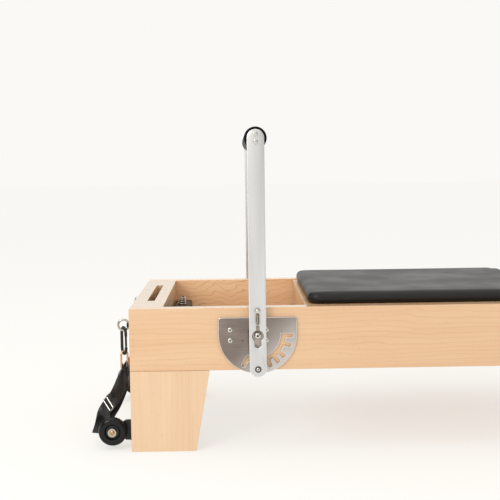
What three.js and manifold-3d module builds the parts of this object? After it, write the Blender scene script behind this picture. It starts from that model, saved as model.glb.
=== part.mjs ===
// A pilates reformer: a maple frame on four tapered legs, a sprung carriage that rolls
// between the side rails, and a footbar that tilts and locks on two notched plates.
// Millimetres. +X runs from the foot end to the head end, +Y to the far side, +Z up.

import * as THREE from 'three';
import { mergeVertices } from 'three/addons/utils/BufferGeometryUtils.js';
import Module from 'manifold-3d';

const wasm = await Module();
wasm.setup();

// ---------------------------------------------------------------- driving dimensions

const gap = 0.3;                    // kept between pieces that touch

// frame
const frameLength = 2360;
const frameWidth = 670;
const frameHeight = 380;
const railThickness = 38;
const railHeight = 165;
const legThickness = 70;
const legTopWidth = 209;
const legFootWidth = 171;

// foot end box
const endBoxDepth = 87;
const endPanelThickness = 28;
const topBoardThickness = 38;
const handSlotWidth = 20;
const handSlotLength = 354;
const headPanelThickness = 38;

// tracks and carriage wheels
const trackThickness = 4;
const trackFlange = 32;
const trackHeight = 45;
const wheelHeadroom = 16;           // from the carriage wheels to the carriage board
const trackStart = 152;
const carriageWheelRadius = 22;
const carriageWheelWidth = 18;
const carriageWheelInset = 7;       // from the rail's inner face to the wheel
const stubAxleRadius = 5;
const boreClearance = 0.35;

// spring bar and springs
const springBarDepth = 50;
const springBarHeight = 44;
const springBarTop = 316;
const springCount = 4;
const springPitch = 120;
const springRadius = 13;
const springHookRadius = 3.5;
const springAxisHeight = 286;
const springHookSlot = 10;

// carriage
const carriageStart = 463;
const carriageLength = 960;
const carriageBoardThickness = 24.7;
const carriageTop = 378;
const carriageSideClearance = 10;
const springBeamThickness = 30;
const springBeamBottom = 266;
const runnerThickness = 24;
const runnerHeight = 52;
const axleInset = 90;               // from each end of the carriage to its wheel axles
const padInset = 5;
const padLength = 661;
const padThickness = 31.7;
const padCorner = 22;

// shoulder rests and headrest
const shoulderSpacing = 300;
const shoulderPadWidth = 112;
const shoulderPadDepth = 56;
const shoulderPadHeight = 135;
const shoulderPostWidth = 60;
const shoulderPostThickness = 12;
const shoulderPostHeight = 118;
const headrestWidth = 262;
const headrestLength = 190;
const headrestThickness = 42;
const headrestGap = 28;
const headrestCorner = 30;

// footbar
const pivotX = 336;
const pivotZ = 309;
const armWidth = 45;
const armThickness = 12;
const armAbovePivot = 533;
const armBelowPivot = 109;
const armStandOff = 13;             // from the rail's outer face to the arm's inner face
const gripRadius = 29.4;
const crossTubeRadius = 16;
const crossTubeWall = 2.5;
const pivotBoltRadius = 6;
const pivotHeadRadius = 8.4;
const pivotHeadHeight = 6;
const pivotHeadProud = 3;
const pivotBushRadius = 8.7;
const keyholeRadius = 15;
const keyholeTailWidth = 18;
const liftTravel = 22;
const hookSlotWidth = 9;
const hookSlotRise = 23;
const lockPinDrop = 88;
const lockPinRadius = 5;
const lockPinHeadRadius = 9;
const lockPinHeadHeight = 5;
const liftSpringRadius = 3.7;
const liftSpringWire = 1.2;
const liftSpringBottom = 31;
const liftSpringTop = 57;
const liftSpringScrew = 62;

// notched plate
const plateRadius = 103;
const plateRise = 46;
const plateThickness = 6;
const plateCorner = 8;
const arcSlotInner = 60.4;
const arcSlotOuter = 73.4;
const notchDepthRadius = 93;
const notchWidth = 10;
const notchAngles = [2.3, 19, 40, 53, 68.5, 90, 115];   // below +X, about the pivot

// transport wheels
const wheelRadius = 38;
const wheelWidth = 24;
const wheelShoulder = 7;
const wheelHubRadius = 18;
const wheelHubRecess = 3;
const wheelAxleHeight = 47;
const wheelAxleOut = 53;
const wheelInboard = 23;
const spindleRadius = 6;
const spindleCapRadius = 10;
const spindleCapThickness = 4;
const bracketPlate = 11;
const bracketFoot = 6;
const bracketHeight = 54;
const bracketNose = 14;

// foot end eye bolts, snap hooks and straps
const eyeInboard = 100;
const eyeOut = 25;
const eyeHeight = 323;
const eyeRadius = 14.5;
const eyeWire = 3;
const eyeShankRadius = 4;
const hookWire = 4;
const hookBend = 16;
const hookStraight = 40;
const hookTurn = 154;               // degrees from +Y to the side where the gate is
const gateLength = 30;
const gateRadius = 3;
const linkClearance = 0.8;
const ringWire = 2.5;
const ringBend = 11;
const ringStraight = 29;
const ringTurn = 66;
const strapDepth = 34;
const strapDrop = 175;
const strapLean = 76;
const strapTopWidth = 16;
const strapMiddleWidth = 40;
const strapFootWidth = 20;

// head end pulleys
const pulleyPostSize = 30;
const pulleyPostTop = 600;
const pulleyPostBottom = 216;
const pulleyInboard = 100;
const pulleyHeight = 572;
const pulleyRadius = 28;
const pulleyWidth = 14;
const pulleyGroove = 5;
const pulleyGap = 4;

// ---------------------------------------------------------------- values worked out

const railBottom = frameHeight - railHeight;
const halfWidth = frameWidth / 2;
const innerHalf = halfWidth - railThickness;
const armInnerFace = halfWidth + armStandOff;
const armOuterFace = armInnerFace + armThickness;
const headFace = frameLength - headPanelThickness;
const carriageHalf = innerHalf - carriageSideClearance;
const carriageBottom = carriageTop - carriageBoardThickness;
const carriageEnd = carriageStart + carriageLength;
const wheelCentreHeight = carriageBottom - wheelHeadroom - carriageWheelRadius;
const trackTop = wheelCentreHeight - carriageWheelRadius - gap;
const springBeamFace = carriageStart + 7;
const shoulderX = carriageStart + padInset + padLength + 6;
const headrestX = shoulderX + shoulderPadDepth + shoulderPostThickness + headrestGap;
const gripHeight = pivotZ + armAbovePivot - armWidth / 2;
const ringHoleRadius = eyeRadius - eyeWire;
const hookTop = eyeHeight - ringHoleRadius + hookWire + linkClearance;
const hookCentreHeight = hookTop - hookBend - hookStraight / 2;
const hookBottom = hookCentreHeight - hookStraight / 2 - hookBend;
const ringTop = hookBottom + hookWire + ringWire + linkClearance;
const ringCentreHeight = ringTop - ringBend - ringStraight / 2;
const ringBottom = ringCentreHeight - ringStraight / 2 - ringBend;

// ---------------------------------------------------------------- materials

const finish = (color, roughness, metalness) => new THREE.MeshStandardMaterial({
  color,
  roughness,
  metalness,
});
const maple = finish('#e8bf94', 0.5, 0);
const mapleTop = finish('#e6d3bf', 0.5, 0);
const brushedAluminium = finish('#d2d2d0', 0.35, 1);
const brushedSteel = finish('#8f857f', 0.4, 1);
const brightSteel = finish('#c9c4bb', 0.2, 1);
const darkSteel = finish('#2c2623', 0.5, 0.6);
const blackVinyl = finish('#1c1c1d', 0.45, 0);
const blackPlastic = finish('#121213', 0.4, 0);
const copper = finish('#c08a63', 0.3, 1);
const webbing = finish('#17171a', 0.8, 0);

// ---------------------------------------------------------------- shape helpers

const axisX = new THREE.Vector3(1, 0, 0);
const axisY = new THREE.Vector3(0, 1, 0);
const axisZ = new THREE.Vector3(0, 0, 1);
const degrees = THREE.MathUtils.degToRad;
const quarterTurn = Math.PI / 2;
const halfTurn = Math.PI;

function bare(geometry) {
  const copy = geometry.clone();
  copy.deleteAttribute('normal');
  copy.deleteAttribute('uv');
  return mergeVertices(copy, 1e-4);
}

// Drops flat triangles at poles and turns the faces outwards.
function closed(geometry) {
  const merged = bare(geometry);
  const position = merged.getAttribute('position');
  const index = merged.getIndex().array;
  const kept = [];
  let volume = 0;
  const a = new THREE.Vector3();
  const b = new THREE.Vector3();
  const c = new THREE.Vector3();
  for (let i = 0; i < index.length; i += 3) {
    const [p, q, r] = [index[i], index[i + 1], index[i + 2]];
    if (p === q || q === r || r === p) continue;
    kept.push(p, q, r);
    a.fromBufferAttribute(position, p);
    b.fromBufferAttribute(position, q);
    c.fromBufferAttribute(position, r);
    volume += a.dot(b.cross(c));
  }
  if (volume < 0) kept.reverse();
  merged.setIndex(kept);
  return merged;
}

function solid(geometry) {
  const shell = closed(geometry);
  return new wasm.Manifold(new wasm.Mesh({
    numProp: 3,
    vertProperties: new Float32Array(shell.getAttribute('position').array),
    triVerts: new Uint32Array(shell.getIndex().array),
  }));
}

function fromSolid(manifold) {
  const mesh = manifold.getMesh();
  const geometry = new THREE.BufferGeometry();
  geometry.setAttribute('position', new THREE.BufferAttribute(mesh.vertProperties, 3));
  geometry.setIndex(new THREE.BufferAttribute(mesh.triVerts, 1));
  return geometry;
}

function join(first, ...others) {
  return fromSolid(others.reduce((whole, piece) => whole.add(solid(piece)), solid(first)));
}

function cut(first, ...tools) {
  return fromSolid(tools.reduce((whole, tool) => whole.subtract(solid(tool)), solid(first)));
}

function box(x0, x1, y0, y1, z0, z1) {
  const geometry = new THREE.BoxGeometry(x1 - x0, Math.abs(y1 - y0), z1 - z0);
  geometry.translate((x0 + x1) / 2, (y0 + y1) / 2, (z0 + z1) / 2);
  return geometry;
}

function rectangle(u0, u1, v0, v1) {
  const shape = new THREE.Shape();
  shape.moveTo(u0, v0);
  shape.lineTo(u1, v0);
  shape.lineTo(u1, v1);
  shape.lineTo(u0, v1);
  shape.closePath();
  return shape;
}

function roundedRectangle(u0, u1, v0, v1, radius) {
  const shape = new THREE.Shape();
  shape.moveTo(u0 + radius, v0);
  shape.lineTo(u1 - radius, v0);
  shape.absarc(u1 - radius, v0 + radius, radius, -Math.PI / 2, 0);
  shape.absarc(u1 - radius, v1 - radius, radius, 0, Math.PI / 2);
  shape.absarc(u0 + radius, v1 - radius, radius, Math.PI / 2, Math.PI);
  shape.absarc(u0 + radius, v0 + radius, radius, Math.PI, 1.5 * Math.PI);
  return shape;
}

function outline(points) {
  return new THREE.Shape(points.map(([u, v]) => new THREE.Vector2(u, v)));
}

function circleHole(u, v, radius) {
  const hole = new THREE.Path();
  hole.absarc(u, v, radius, 0, 2 * Math.PI, true);
  return hole;
}

function extruded(shape, depth, curveSegments) {
  return new THREE.ExtrudeGeometry(shape, { depth, bevelEnabled: false, curveSegments });
}

// A shape drawn in X and Z, given a thickness from y0 to y1.
function plateXZ(shape, y0, y1, curveSegments = 8) {
  const geometry = extruded(shape, Math.abs(y1 - y0), curveSegments);
  geometry.applyMatrix4(new THREE.Matrix4().makeBasis(axisX, axisZ, axisY.clone().negate()));
  geometry.translate(0, Math.max(y0, y1), 0);
  return geometry;
}

// A shape drawn in Y and Z, given a length from x0 to x1.
function plateYZ(shape, x0, x1, curveSegments = 8) {
  const geometry = extruded(shape, x1 - x0, curveSegments);
  geometry.applyMatrix4(new THREE.Matrix4().makeBasis(axisY, axisZ, axisX));
  geometry.translate(x0, 0, 0);
  return geometry;
}

// A shape drawn in plan, given a height from z0 to z1.
function plateXY(shape, z0, z1, curveSegments = 8) {
  const geometry = extruded(shape, z1 - z0, curveSegments);
  geometry.translate(0, 0, z0);
  return geometry;
}

// Profiles are [radius, place along the axis] pairs.
function turned(profile, segments, axis) {
  const points = profile.map(([radius, along]) => new THREE.Vector2(radius, along));
  const geometry = new THREE.LatheGeometry(points, segments);
  if (axis === 'x') geometry.rotateZ(-Math.PI / 2);
  if (axis === 'z') geometry.rotateX(Math.PI / 2);
  return geometry;
}

function ringProfile(inner, outer, low, high) {
  return [[inner, low], [outer, low], [outer, high], [inner, high], [inner, low]];
}

function rodProfile(radius, low, high) {
  return [[0, low], [radius, low], [radius, high], [0, high]];
}

function arcPoints(cx, cy, radius, from, to, steps) {
  return Array.from({ length: steps + 1 }, (_, i) => {
    const angle = from + (to - from) * i / steps;
    return [cx + radius * Math.cos(angle), cy + radius * Math.sin(angle)];
  });
}

// A round wire bent along flat [u, v] points, standing in the plane of +Z and `across`.
function bentWire(points, wireRadius, across, isLoop) {
  const route = points.map(([u, v]) => across.clone().multiplyScalar(u).setZ(v));
  const path = new THREE.CatmullRomCurve3(route, isLoop, 'centripetal');
  const section = new THREE.Shape();
  section.absarc(0, 0, wireRadius, 0, 2 * Math.PI);
  return new THREE.ExtrudeGeometry(section, {
    steps: points.length,
    curveSegments: 4,
    extrudePath: path,
  });
}

const reformer = new THREE.Group();

function add(name, geometry, material) {
  const mesh = new THREE.Mesh(closed(geometry), material);
  mesh.name = name;
  reformer.add(mesh);
}

// Adds one piece on each side; the far one is the near one mirrored across Y = 0.
function addPair(suffix, nearGeometry, material) {
  const farGeometry = nearGeometry.clone();
  farGeometry.scale(1, -1, 1);
  add(`near_${suffix}`, nearGeometry, material);
  add(`far_${suffix}`, farGeometry, material);
}

// ---------------------------------------------------------------- frame

function sideRail() {
  const shape = rectangle(0, frameLength, railBottom, frameHeight);
  shape.holes.push(circleHole(pivotX, pivotZ, pivotBoltRadius + boreClearance));
  return plateXZ(shape, -halfWidth, -innerHalf);
}

function leg(mirrored) {
  const place = (x) => (mirrored ? frameLength - x : x);
  const top = railBottom - gap;
  const shape = new THREE.Shape();
  shape.moveTo(place(0), 0);
  shape.lineTo(place(legFootWidth), 0);
  shape.lineTo(place(legTopWidth), top);
  shape.lineTo(place(0), top);
  shape.closePath();
  return plateXZ(shape, -halfWidth, -halfWidth + legThickness);
}

function footTopBoard() {
  const reach = innerHalf - gap;
  const shape = rectangle(0, endBoxDepth, -reach, reach);
  const slotStart = (endBoxDepth - handSlotWidth) / 2 + 2;
  shape.holes.push(rectangle(
    slotStart,
    slotStart + handSlotWidth,
    -handSlotLength / 2,
    handSlotLength / 2,
  ));
  return plateXY(shape, frameHeight - topBoardThickness, frameHeight);
}

function footPanel(start, holed) {
  const reach = innerHalf - gap;
  const top = frameHeight - topBoardThickness - gap;
  const shape = rectangle(-reach, reach, railBottom, top);
  if (holed) {
    for (const side of [-1, 1]) {
      const y = side * (halfWidth - eyeInboard);
      shape.holes.push(circleHole(y, eyeHeight, eyeShankRadius + boreClearance));
    }
  }
  return plateYZ(shape, start, start + endPanelThickness);
}

function headPanel() {
  const reach = innerHalf - gap;
  return box(headFace, frameLength, -reach, reach, railBottom, frameHeight);
}

// An angle: the wheels roll on its flange, and its leg is screwed to the rail below them.
function track() {
  const outer = -innerHalf + gap;
  const underside = trackTop - trackThickness;
  const shape = new THREE.Shape();
  shape.moveTo(outer, trackTop - trackHeight);
  shape.lineTo(outer + trackThickness, trackTop - trackHeight);
  shape.lineTo(outer + trackThickness, underside);
  shape.lineTo(outer + trackFlange, underside);
  shape.lineTo(outer + trackFlange, trackTop);
  shape.lineTo(outer, trackTop);
  shape.closePath();
  return plateYZ(shape, trackStart, headFace - gap);
}

function springPlaces() {
  const first = -springPitch * (springCount - 1) / 2;
  return Array.from({ length: springCount }, (_, i) => first + i * springPitch);
}

function springBar() {
  const start = endBoxDepth + gap;
  const end = start + springBarDepth;
  const reach = innerHalf - gap;
  const low = springBarTop - springBarHeight;
  const shape = roundedRectangle(start, end, low, springBarTop, 6);
  const slots = springPlaces().map((y) => box(
    end - springBarDepth / 2,
    end + 1,
    y - springHookSlot / 2,
    y + springHookSlot / 2,
    springAxisHeight - springHookSlot / 2,
    springBarTop + 1,
  ));
  return cut(plateXZ(shape, -reach, reach, 3), ...slots);
}

function spring(y) {
  const barFace = endBoxDepth + gap + springBarDepth;
  const hookStart = barFace - springBarDepth / 2 + gap;
  const coilStart = barFace + 12;
  const coilEnd = springBeamFace - 12;
  const geometry = turned([
    [0, hookStart],
    [springHookRadius, hookStart],
    [springHookRadius, coilStart - 4],
    [springRadius, coilStart],
    [springRadius, coilEnd],
    [springHookRadius, coilEnd + 4],
    [springHookRadius, springBeamFace - gap],
    [0, springBeamFace - gap],
  ], 12, 'x');
  geometry.translate(0, y, springAxisHeight);
  return geometry;
}

// ---------------------------------------------------------------- footbar

// The curved slot with its notches, as one closed outline around the pivot.
function notchedSlot() {
  const halfNotch = notchWidth / 2;
  const edge = Math.asin(halfNotch / arcSlotOuter);
  const point = (radius, angle) => new THREE.Vector2(
    pivotX + radius * Math.cos(angle),
    pivotZ + radius * Math.sin(angle),
  );
  const angles = notchAngles.map((angle) => -degrees(angle));
  const first = angles[0] + edge;
  const last = angles[angles.length - 1] - edge;
  const outline = [];
  const innerSteps = 16;
  for (let i = 0; i <= innerSteps; i += 1) {
    outline.push(point(arcSlotInner, last + (first - last) * i / innerSteps));
  }
  angles.forEach((angle) => {
    const along = new THREE.Vector2(Math.cos(angle), Math.sin(angle));
    const side = new THREE.Vector2(-along.y, along.x);
    const centre = point(notchDepthRadius - halfNotch, angle);
    outline.push(point(arcSlotOuter, angle + edge));
    for (let i = 0; i <= 4; i += 1) {
      const turn = Math.PI * i / 4;
      outline.push(centre.clone()
        .addScaledVector(side, halfNotch * Math.cos(turn))
        .addScaledVector(along, halfNotch * Math.sin(turn)));
    }
    outline.push(point(arcSlotOuter, angle - edge));
  });
  return new THREE.Path(outline);
}

function lockPlate() {
  const left = pivotX - plateRadius;
  const right = pivotX + plateRadius;
  const top = pivotZ + plateRise;
  const cornerZ = top - plateCorner;
  const shape = outline([
    ...arcPoints(right - plateCorner, cornerZ, plateCorner, 0, quarterTurn, 3),
    ...arcPoints(left + plateCorner, cornerZ, plateCorner, quarterTurn, halfTurn, 3),
    ...arcPoints(pivotX, pivotZ, plateRadius, halfTurn, 2 * halfTurn, 30),
  ]);
  shape.holes.push(notchedSlot());
  shape.holes.push(circleHole(pivotX, pivotZ, pivotBoltRadius + boreClearance));
  const inner = halfWidth + gap;
  return plateXZ(shape, -inner, -inner - plateThickness, 6);
}

function pivotBolt() {
  const headFront = -armOuterFace - pivotHeadProud;
  const headBack = headFront + pivotHeadHeight;
  const geometry = turned([
    [0, headFront],
    [pivotHeadRadius - 2, headFront],
    [pivotHeadRadius, headFront + 2],
    [pivotHeadRadius, headBack],
    [pivotBoltRadius, headBack],
    [pivotBoltRadius, -innerHalf - 2],
    [0, -innerHalf - 2],
  ], 16, 'y');
  geometry.translate(pivotX, 0, pivotZ);
  return geometry;
}

function pivotBush() {
  const outerEnd = -armOuterFace - pivotHeadProud + pivotHeadHeight + gap;
  const geometry = turned(
    ringProfile(pivotBoltRadius + boreClearance, pivotBushRadius, outerEnd, -armInnerFace),
    16,
    'y',
  );
  geometry.translate(pivotX, 0, pivotZ);
  return geometry;
}

// Hook slot above, round hole at the pivot and a tail below it that the bush slides in.
function keyhole() {
  const tailHalf = keyholeTailWidth / 2;
  const slotHalf = hookSlotWidth / 2;
  const tailAngle = Math.asin(tailHalf / keyholeRadius);
  const slotAngle = Math.asin(slotHalf / keyholeRadius);
  const slotZ = pivotZ + hookSlotRise;
  const tailZ = pivotZ - liftTravel - 1;
  const right = [-quarterTurn + tailAngle, quarterTurn - slotAngle];
  const left = [quarterTurn + slotAngle, 3 * quarterTurn - tailAngle];
  return outline([
    ...arcPoints(pivotX, pivotZ, keyholeRadius, ...right, 8),
    ...arcPoints(pivotX, slotZ, slotHalf, 0, halfTurn, 4),
    ...arcPoints(pivotX, pivotZ, keyholeRadius, ...left, 8),
    ...arcPoints(pivotX, tailZ, tailHalf, halfTurn, 2 * halfTurn, 6),
  ]);
}

function footbarArm() {
  const half = armWidth / 2;
  const low = pivotZ - armBelowPivot + half;
  const shape = outline([
    ...arcPoints(pivotX, gripHeight, half, 0, halfTurn, 14),
    ...arcPoints(pivotX, low, half, halfTurn, 2 * halfTurn, 14),
  ]);
  shape.holes.push(keyhole());
  shape.holes.push(circleHole(pivotX, pivotZ - lockPinDrop, lockPinRadius + boreClearance));
  return plateXZ(shape, -armOuterFace, -armInnerFace, 6);
}

function lockPin() {
  const tip = -halfWidth - gap - plateThickness - 2 * gap;
  const headBack = -armOuterFace - gap;
  const headFront = headBack - lockPinHeadHeight;
  const geometry = turned([
    [0, headFront],
    [lockPinHeadRadius - 2, headFront],
    [lockPinHeadRadius, headFront + 2],
    [lockPinHeadRadius, headBack],
    [lockPinRadius, headBack],
    [lockPinRadius, tip],
    [0, tip],
  ], 14, 'y');
  geometry.translate(pivotX, 0, pivotZ - lockPinDrop);
  return geometry;
}

function liftSpring() {
  const geometry = turned([
    [0, pivotHeadRadius + gap],
    [liftSpringWire, pivotHeadRadius + gap],
    [liftSpringWire, liftSpringBottom],
    [liftSpringRadius, liftSpringBottom + 1],
    [liftSpringRadius, liftSpringTop - 1],
    [liftSpringWire, liftSpringTop],
    [liftSpringWire, liftSpringScrew],
    [0, liftSpringScrew],
  ], 10, 'z');
  geometry.translate(pivotX, -armOuterFace - gap - liftSpringRadius, pivotZ);
  return geometry;
}

function crossTube() {
  const reach = armInnerFace - gap;
  const inner = crossTubeRadius - crossTubeWall;
  const geometry = turned(ringProfile(inner, crossTubeRadius, -reach, reach), 20, 'y');
  geometry.translate(pivotX, 0, gripHeight);
  return geometry;
}

function footbarGrip() {
  const reach = armInnerFace - 2 * gap;
  const inner = crossTubeRadius + gap;
  const round = 3;
  const geometry = turned([
    [inner, -reach],
    [gripRadius - round, -reach],
    [gripRadius, -reach + round],
    [gripRadius, reach - round],
    [gripRadius - round, reach],
    [inner, reach],
    [inner, -reach],
  ], 24, 'y');
  geometry.translate(pivotX, 0, gripHeight);
  return geometry;
}

// ---------------------------------------------------------------- carriage

function axlePlaces() {
  return [carriageStart + axleInset, carriageEnd - axleInset];
}

// Board, spring beam under its foot end, two runners and four stub axles, glued as one.
function carriageBoard() {
  const runnerOuter = innerHalf - carriageWheelInset - carriageWheelWidth - 3;
  const board = box(
    carriageStart,
    carriageEnd,
    -carriageHalf,
    carriageHalf,
    carriageBottom,
    carriageTop,
  );
  const beam = box(
    springBeamFace,
    springBeamFace + springBeamThickness,
    -runnerOuter + runnerThickness / 2,
    runnerOuter - runnerThickness / 2,
    springBeamBottom,
    carriageBottom + 1,
  );
  const pieces = [beam];
  for (const side of [-1, 1]) {
    const outer = side * runnerOuter;
    const inner = side * (runnerOuter - runnerThickness);
    pieces.push(box(
      carriageStart + padInset,
      carriageEnd - padInset,
      Math.min(outer, inner),
      Math.max(outer, inner),
      carriageBottom - runnerHeight,
      carriageBottom + 1,
    ));
    for (const x of axlePlaces()) {
      const from = runnerOuter - runnerThickness / 2;
      const to = innerHalf - carriageWheelInset + 1;
      const stub = turned(rodProfile(stubAxleRadius, from, to), 12, 'y');
      if (side < 0) stub.rotateZ(Math.PI);
      stub.translate(x, 0, wheelCentreHeight);
      pieces.push(stub);
    }
  }
  return join(board, ...pieces);
}

function carriageWheel(x, side) {
  const outer = innerHalf - carriageWheelInset;
  const inner = outer - carriageWheelWidth;
  const bore = stubAxleRadius + boreClearance;
  const edge = 2;
  const geometry = turned([
    [bore, inner],
    [carriageWheelRadius - edge, inner],
    [carriageWheelRadius, inner + edge],
    [carriageWheelRadius, outer - edge],
    [carriageWheelRadius - edge, outer],
    [bore, outer],
    [bore, inner],
  ], 16, 'y');
  if (side < 0) geometry.rotateZ(Math.PI);
  geometry.translate(x, 0, wheelCentreHeight);
  return geometry;
}

function carriagePad() {
  const start = carriageStart + padInset;
  const shape = roundedRectangle(
    start,
    start + padLength,
    -carriageHalf,
    carriageHalf,
    padCorner,
  );
  const low = carriageTop + gap;
  return plateXY(shape, low, low + padThickness, 4);
}

function shoulderPad() {
  const y = -shoulderSpacing / 2;
  const half = shoulderPadWidth / 2;
  const low = carriageTop + gap;
  const high = low + shoulderPadHeight;
  const shape = roundedRectangle(y - half, y + half, low, high, 20);
  return plateYZ(shape, shoulderX, shoulderX + shoulderPadDepth, 4);
}

function shoulderPost() {
  const y = -shoulderSpacing / 2;
  const half = shoulderPostWidth / 2;
  const low = carriageTop + gap;
  const start = shoulderX + shoulderPadDepth + gap;
  return box(start, start + shoulderPostThickness, y - half, y + half, low, low + shoulderPostHeight);
}

function headrest() {
  const half = headrestWidth / 2;
  const shape = roundedRectangle(
    headrestX,
    headrestX + headrestLength,
    -half,
    half,
    headrestCorner,
  );
  const low = carriageTop + 3 * gap;
  return plateXY(shape, low, low + headrestThickness, 4);
}

// ---------------------------------------------------------------- transport wheels

function wheelBracket() {
  const plateNear = -halfWidth + wheelInboard + wheelWidth + 2 * gap;
  const low = wheelAxleHeight - bracketHeight / 2;
  const high = wheelAxleHeight + bracketHeight / 2;
  const shape = new THREE.Shape();
  shape.moveTo(-gap, low);
  shape.lineTo(-gap, high);
  shape.lineTo(-gap - bracketHeight / 3, high);
  shape.absarc(-wheelAxleOut, wheelAxleHeight, bracketNose, degrees(60), degrees(300));
  shape.lineTo(-gap - bracketHeight / 3, low);
  shape.closePath();
  const arm = plateXZ(shape, plateNear, plateNear + bracketPlate, 6);
  const foot = box(
    -gap - bracketFoot,
    -gap,
    plateNear - bracketFoot,
    plateNear + bracketPlate + bracketFoot,
    low,
    high,
  );
  const capInner = -halfWidth + wheelInboard - 2 * gap;
  const spindle = turned([
    [0, capInner - spindleCapThickness],
    [spindleCapRadius, capInner - spindleCapThickness],
    [spindleCapRadius, capInner],
    [spindleRadius, capInner],
    [spindleRadius, plateNear + bracketPlate / 2],
    [0, plateNear + bracketPlate / 2],
  ], 14, 'y');
  spindle.translate(-wheelAxleOut, 0, wheelAxleHeight);
  return join(arm, foot, spindle);
}

function transportWheel() {
  const front = -halfWidth + wheelInboard;
  const back = front + wheelWidth;
  const bore = spindleRadius + boreClearance;
  const rimCentre = wheelRadius - wheelShoulder;
  const geometry = turned([
    [bore, front + wheelHubRecess],
    [wheelHubRadius, front + wheelHubRecess],
    [wheelHubRadius + 2, front],
    ...arcPoints(rimCentre, front + wheelShoulder, wheelShoulder, -quarterTurn, 0, 3),
    ...arcPoints(rimCentre, back - wheelShoulder, wheelShoulder, 0, quarterTurn, 3),
    [wheelHubRadius + 2, back],
    [wheelHubRadius, back - wheelHubRecess],
    [bore, back - wheelHubRecess],
    [bore, front + wheelHubRecess],
  ], 24, 'y');
  geometry.translate(-wheelAxleOut, 0, wheelAxleHeight);
  return geometry;
}

// ---------------------------------------------------------------- foot end straps

const eyeY = -halfWidth + eyeInboard;

function planeAcross(turn) {
  return new THREE.Vector3(Math.sin(degrees(turn)), Math.cos(degrees(turn)), 0);
}

function eyeBolt() {
  const ring = new THREE.TorusGeometry(eyeRadius, eyeWire, 8, 20);
  ring.rotateX(Math.PI / 2);
  ring.translate(-eyeOut, eyeY, eyeHeight);
  const shankStart = -eyeOut + eyeRadius;
  const shank = turned([
    [0, shankStart],
    [eyeShankRadius, shankStart],
    [eyeShankRadius, endPanelThickness - 2],
    [0, endPanelThickness - 2],
  ], 10, 'x');
  shank.translate(0, eyeY, eyeHeight);
  return join(ring, shank);
}

function placedWire(points, wireRadius, turn, isLoop) {
  const geometry = bentWire(points, wireRadius, planeAcross(turn), isLoop);
  geometry.translate(-eyeOut, eyeY, 0);
  return geometry;
}

// The gate closes the side of the hook that faces the end panel.
function snapHook() {
  const z = hookCentreHeight;
  const half = hookStraight / 2;
  const mouth = gateLength / 2 + 0.5;
  const points = [
    [hookBend, z + mouth],
    ...arcPoints(0, z + half, hookBend, 0, Math.PI, 8),
    [-hookBend, z],
    ...arcPoints(0, z - half, hookBend, Math.PI, 2 * Math.PI, 8),
    [hookBend, z - mouth],
  ];
  return placedWire(points, hookWire, hookTurn, false);
}

function hookGate() {
  const geometry = turned([
    [0, -gateLength / 2],
    [gateRadius * 0.7, -gateLength / 2 + 1],
    [gateRadius, -gateLength / 2 + gateRadius],
    [gateRadius, gateLength / 2],
    [0, gateLength / 2],
  ], 10, 'z');
  const across = planeAcross(hookTurn);
  geometry.translate(
    -eyeOut + across.x * hookBend,
    eyeY + across.y * hookBend,
    hookCentreHeight,
  );
  return geometry;
}

function strapRing() {
  const z = ringCentreHeight;
  const half = ringStraight / 2;
  const points = [
    ...arcPoints(0, z + half, ringBend, 0, Math.PI, 8),
    [-ringBend, z],
    ...arcPoints(0, z - half, ringBend, Math.PI, 2 * Math.PI, 8),
    [ringBend, z],
  ];
  return placedWire(points, ringWire, ringTurn, true);
}

// The closed loop of webbing, leaning outwards from its ring to near the floor.
function strapLoop() {
  const top = ringBottom - ringWire - gap;
  const foot = top - strapDrop;
  const middle = top - strapDrop * 0.42;
  const lean = (share) => -eyeOut - strapLean * share;
  const shape = new THREE.Shape();
  shape.moveTo(lean(0) - strapTopWidth / 2, top);
  shape.lineTo(lean(0.5) - strapMiddleWidth / 2, middle);
  shape.lineTo(lean(1) - strapFootWidth / 2, foot + 6);
  shape.lineTo(lean(1), foot);
  shape.lineTo(lean(1) + strapFootWidth / 2, foot + 6);
  shape.lineTo(lean(0.5) + strapMiddleWidth / 2, middle);
  shape.lineTo(lean(0) + strapTopWidth / 2, top);
  shape.closePath();
  return plateXZ(shape, eyeY - strapDepth / 2, eyeY + strapDepth / 2);
}

// ---------------------------------------------------------------- head end pulleys

const postX = frameLength + gap + pulleyPostSize / 2;
const postY = -halfWidth + pulleyInboard;

function pulleyPost() {
  const half = pulleyPostSize / 2;
  const post = box(
    postX - half,
    postX + half,
    postY - half,
    postY + half,
    pulleyPostBottom,
    pulleyPostTop,
  );
  const capInner = postY + half + 2 * pulleyGap + pulleyWidth;
  const spindle = turned([
    [0, postY],
    [stubAxleRadius, postY],
    [stubAxleRadius, capInner],
    [stubAxleRadius + 4, capInner],
    [stubAxleRadius + 4, capInner + 3],
    [0, capInner + 3],
  ], 12, 'y');
  spindle.translate(postX, 0, pulleyHeight);
  return join(post, spindle);
}

function pulley() {
  const front = postY + pulleyPostSize / 2 + pulleyGap;
  const back = front + pulleyWidth;
  const middle = (front + back) / 2;
  const bore = stubAxleRadius + boreClearance;
  const geometry = turned([
    [bore, front],
    [pulleyRadius, front],
    [pulleyRadius, front + 3],
    [pulleyRadius - pulleyGroove, middle],
    [pulleyRadius, back - 3],
    [pulleyRadius, back],
    [bore, back],
    [bore, front],
  ], 20, 'y');
  geometry.translate(postX, 0, pulleyHeight);
  return geometry;
}

// ---------------------------------------------------------------- assembly

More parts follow.
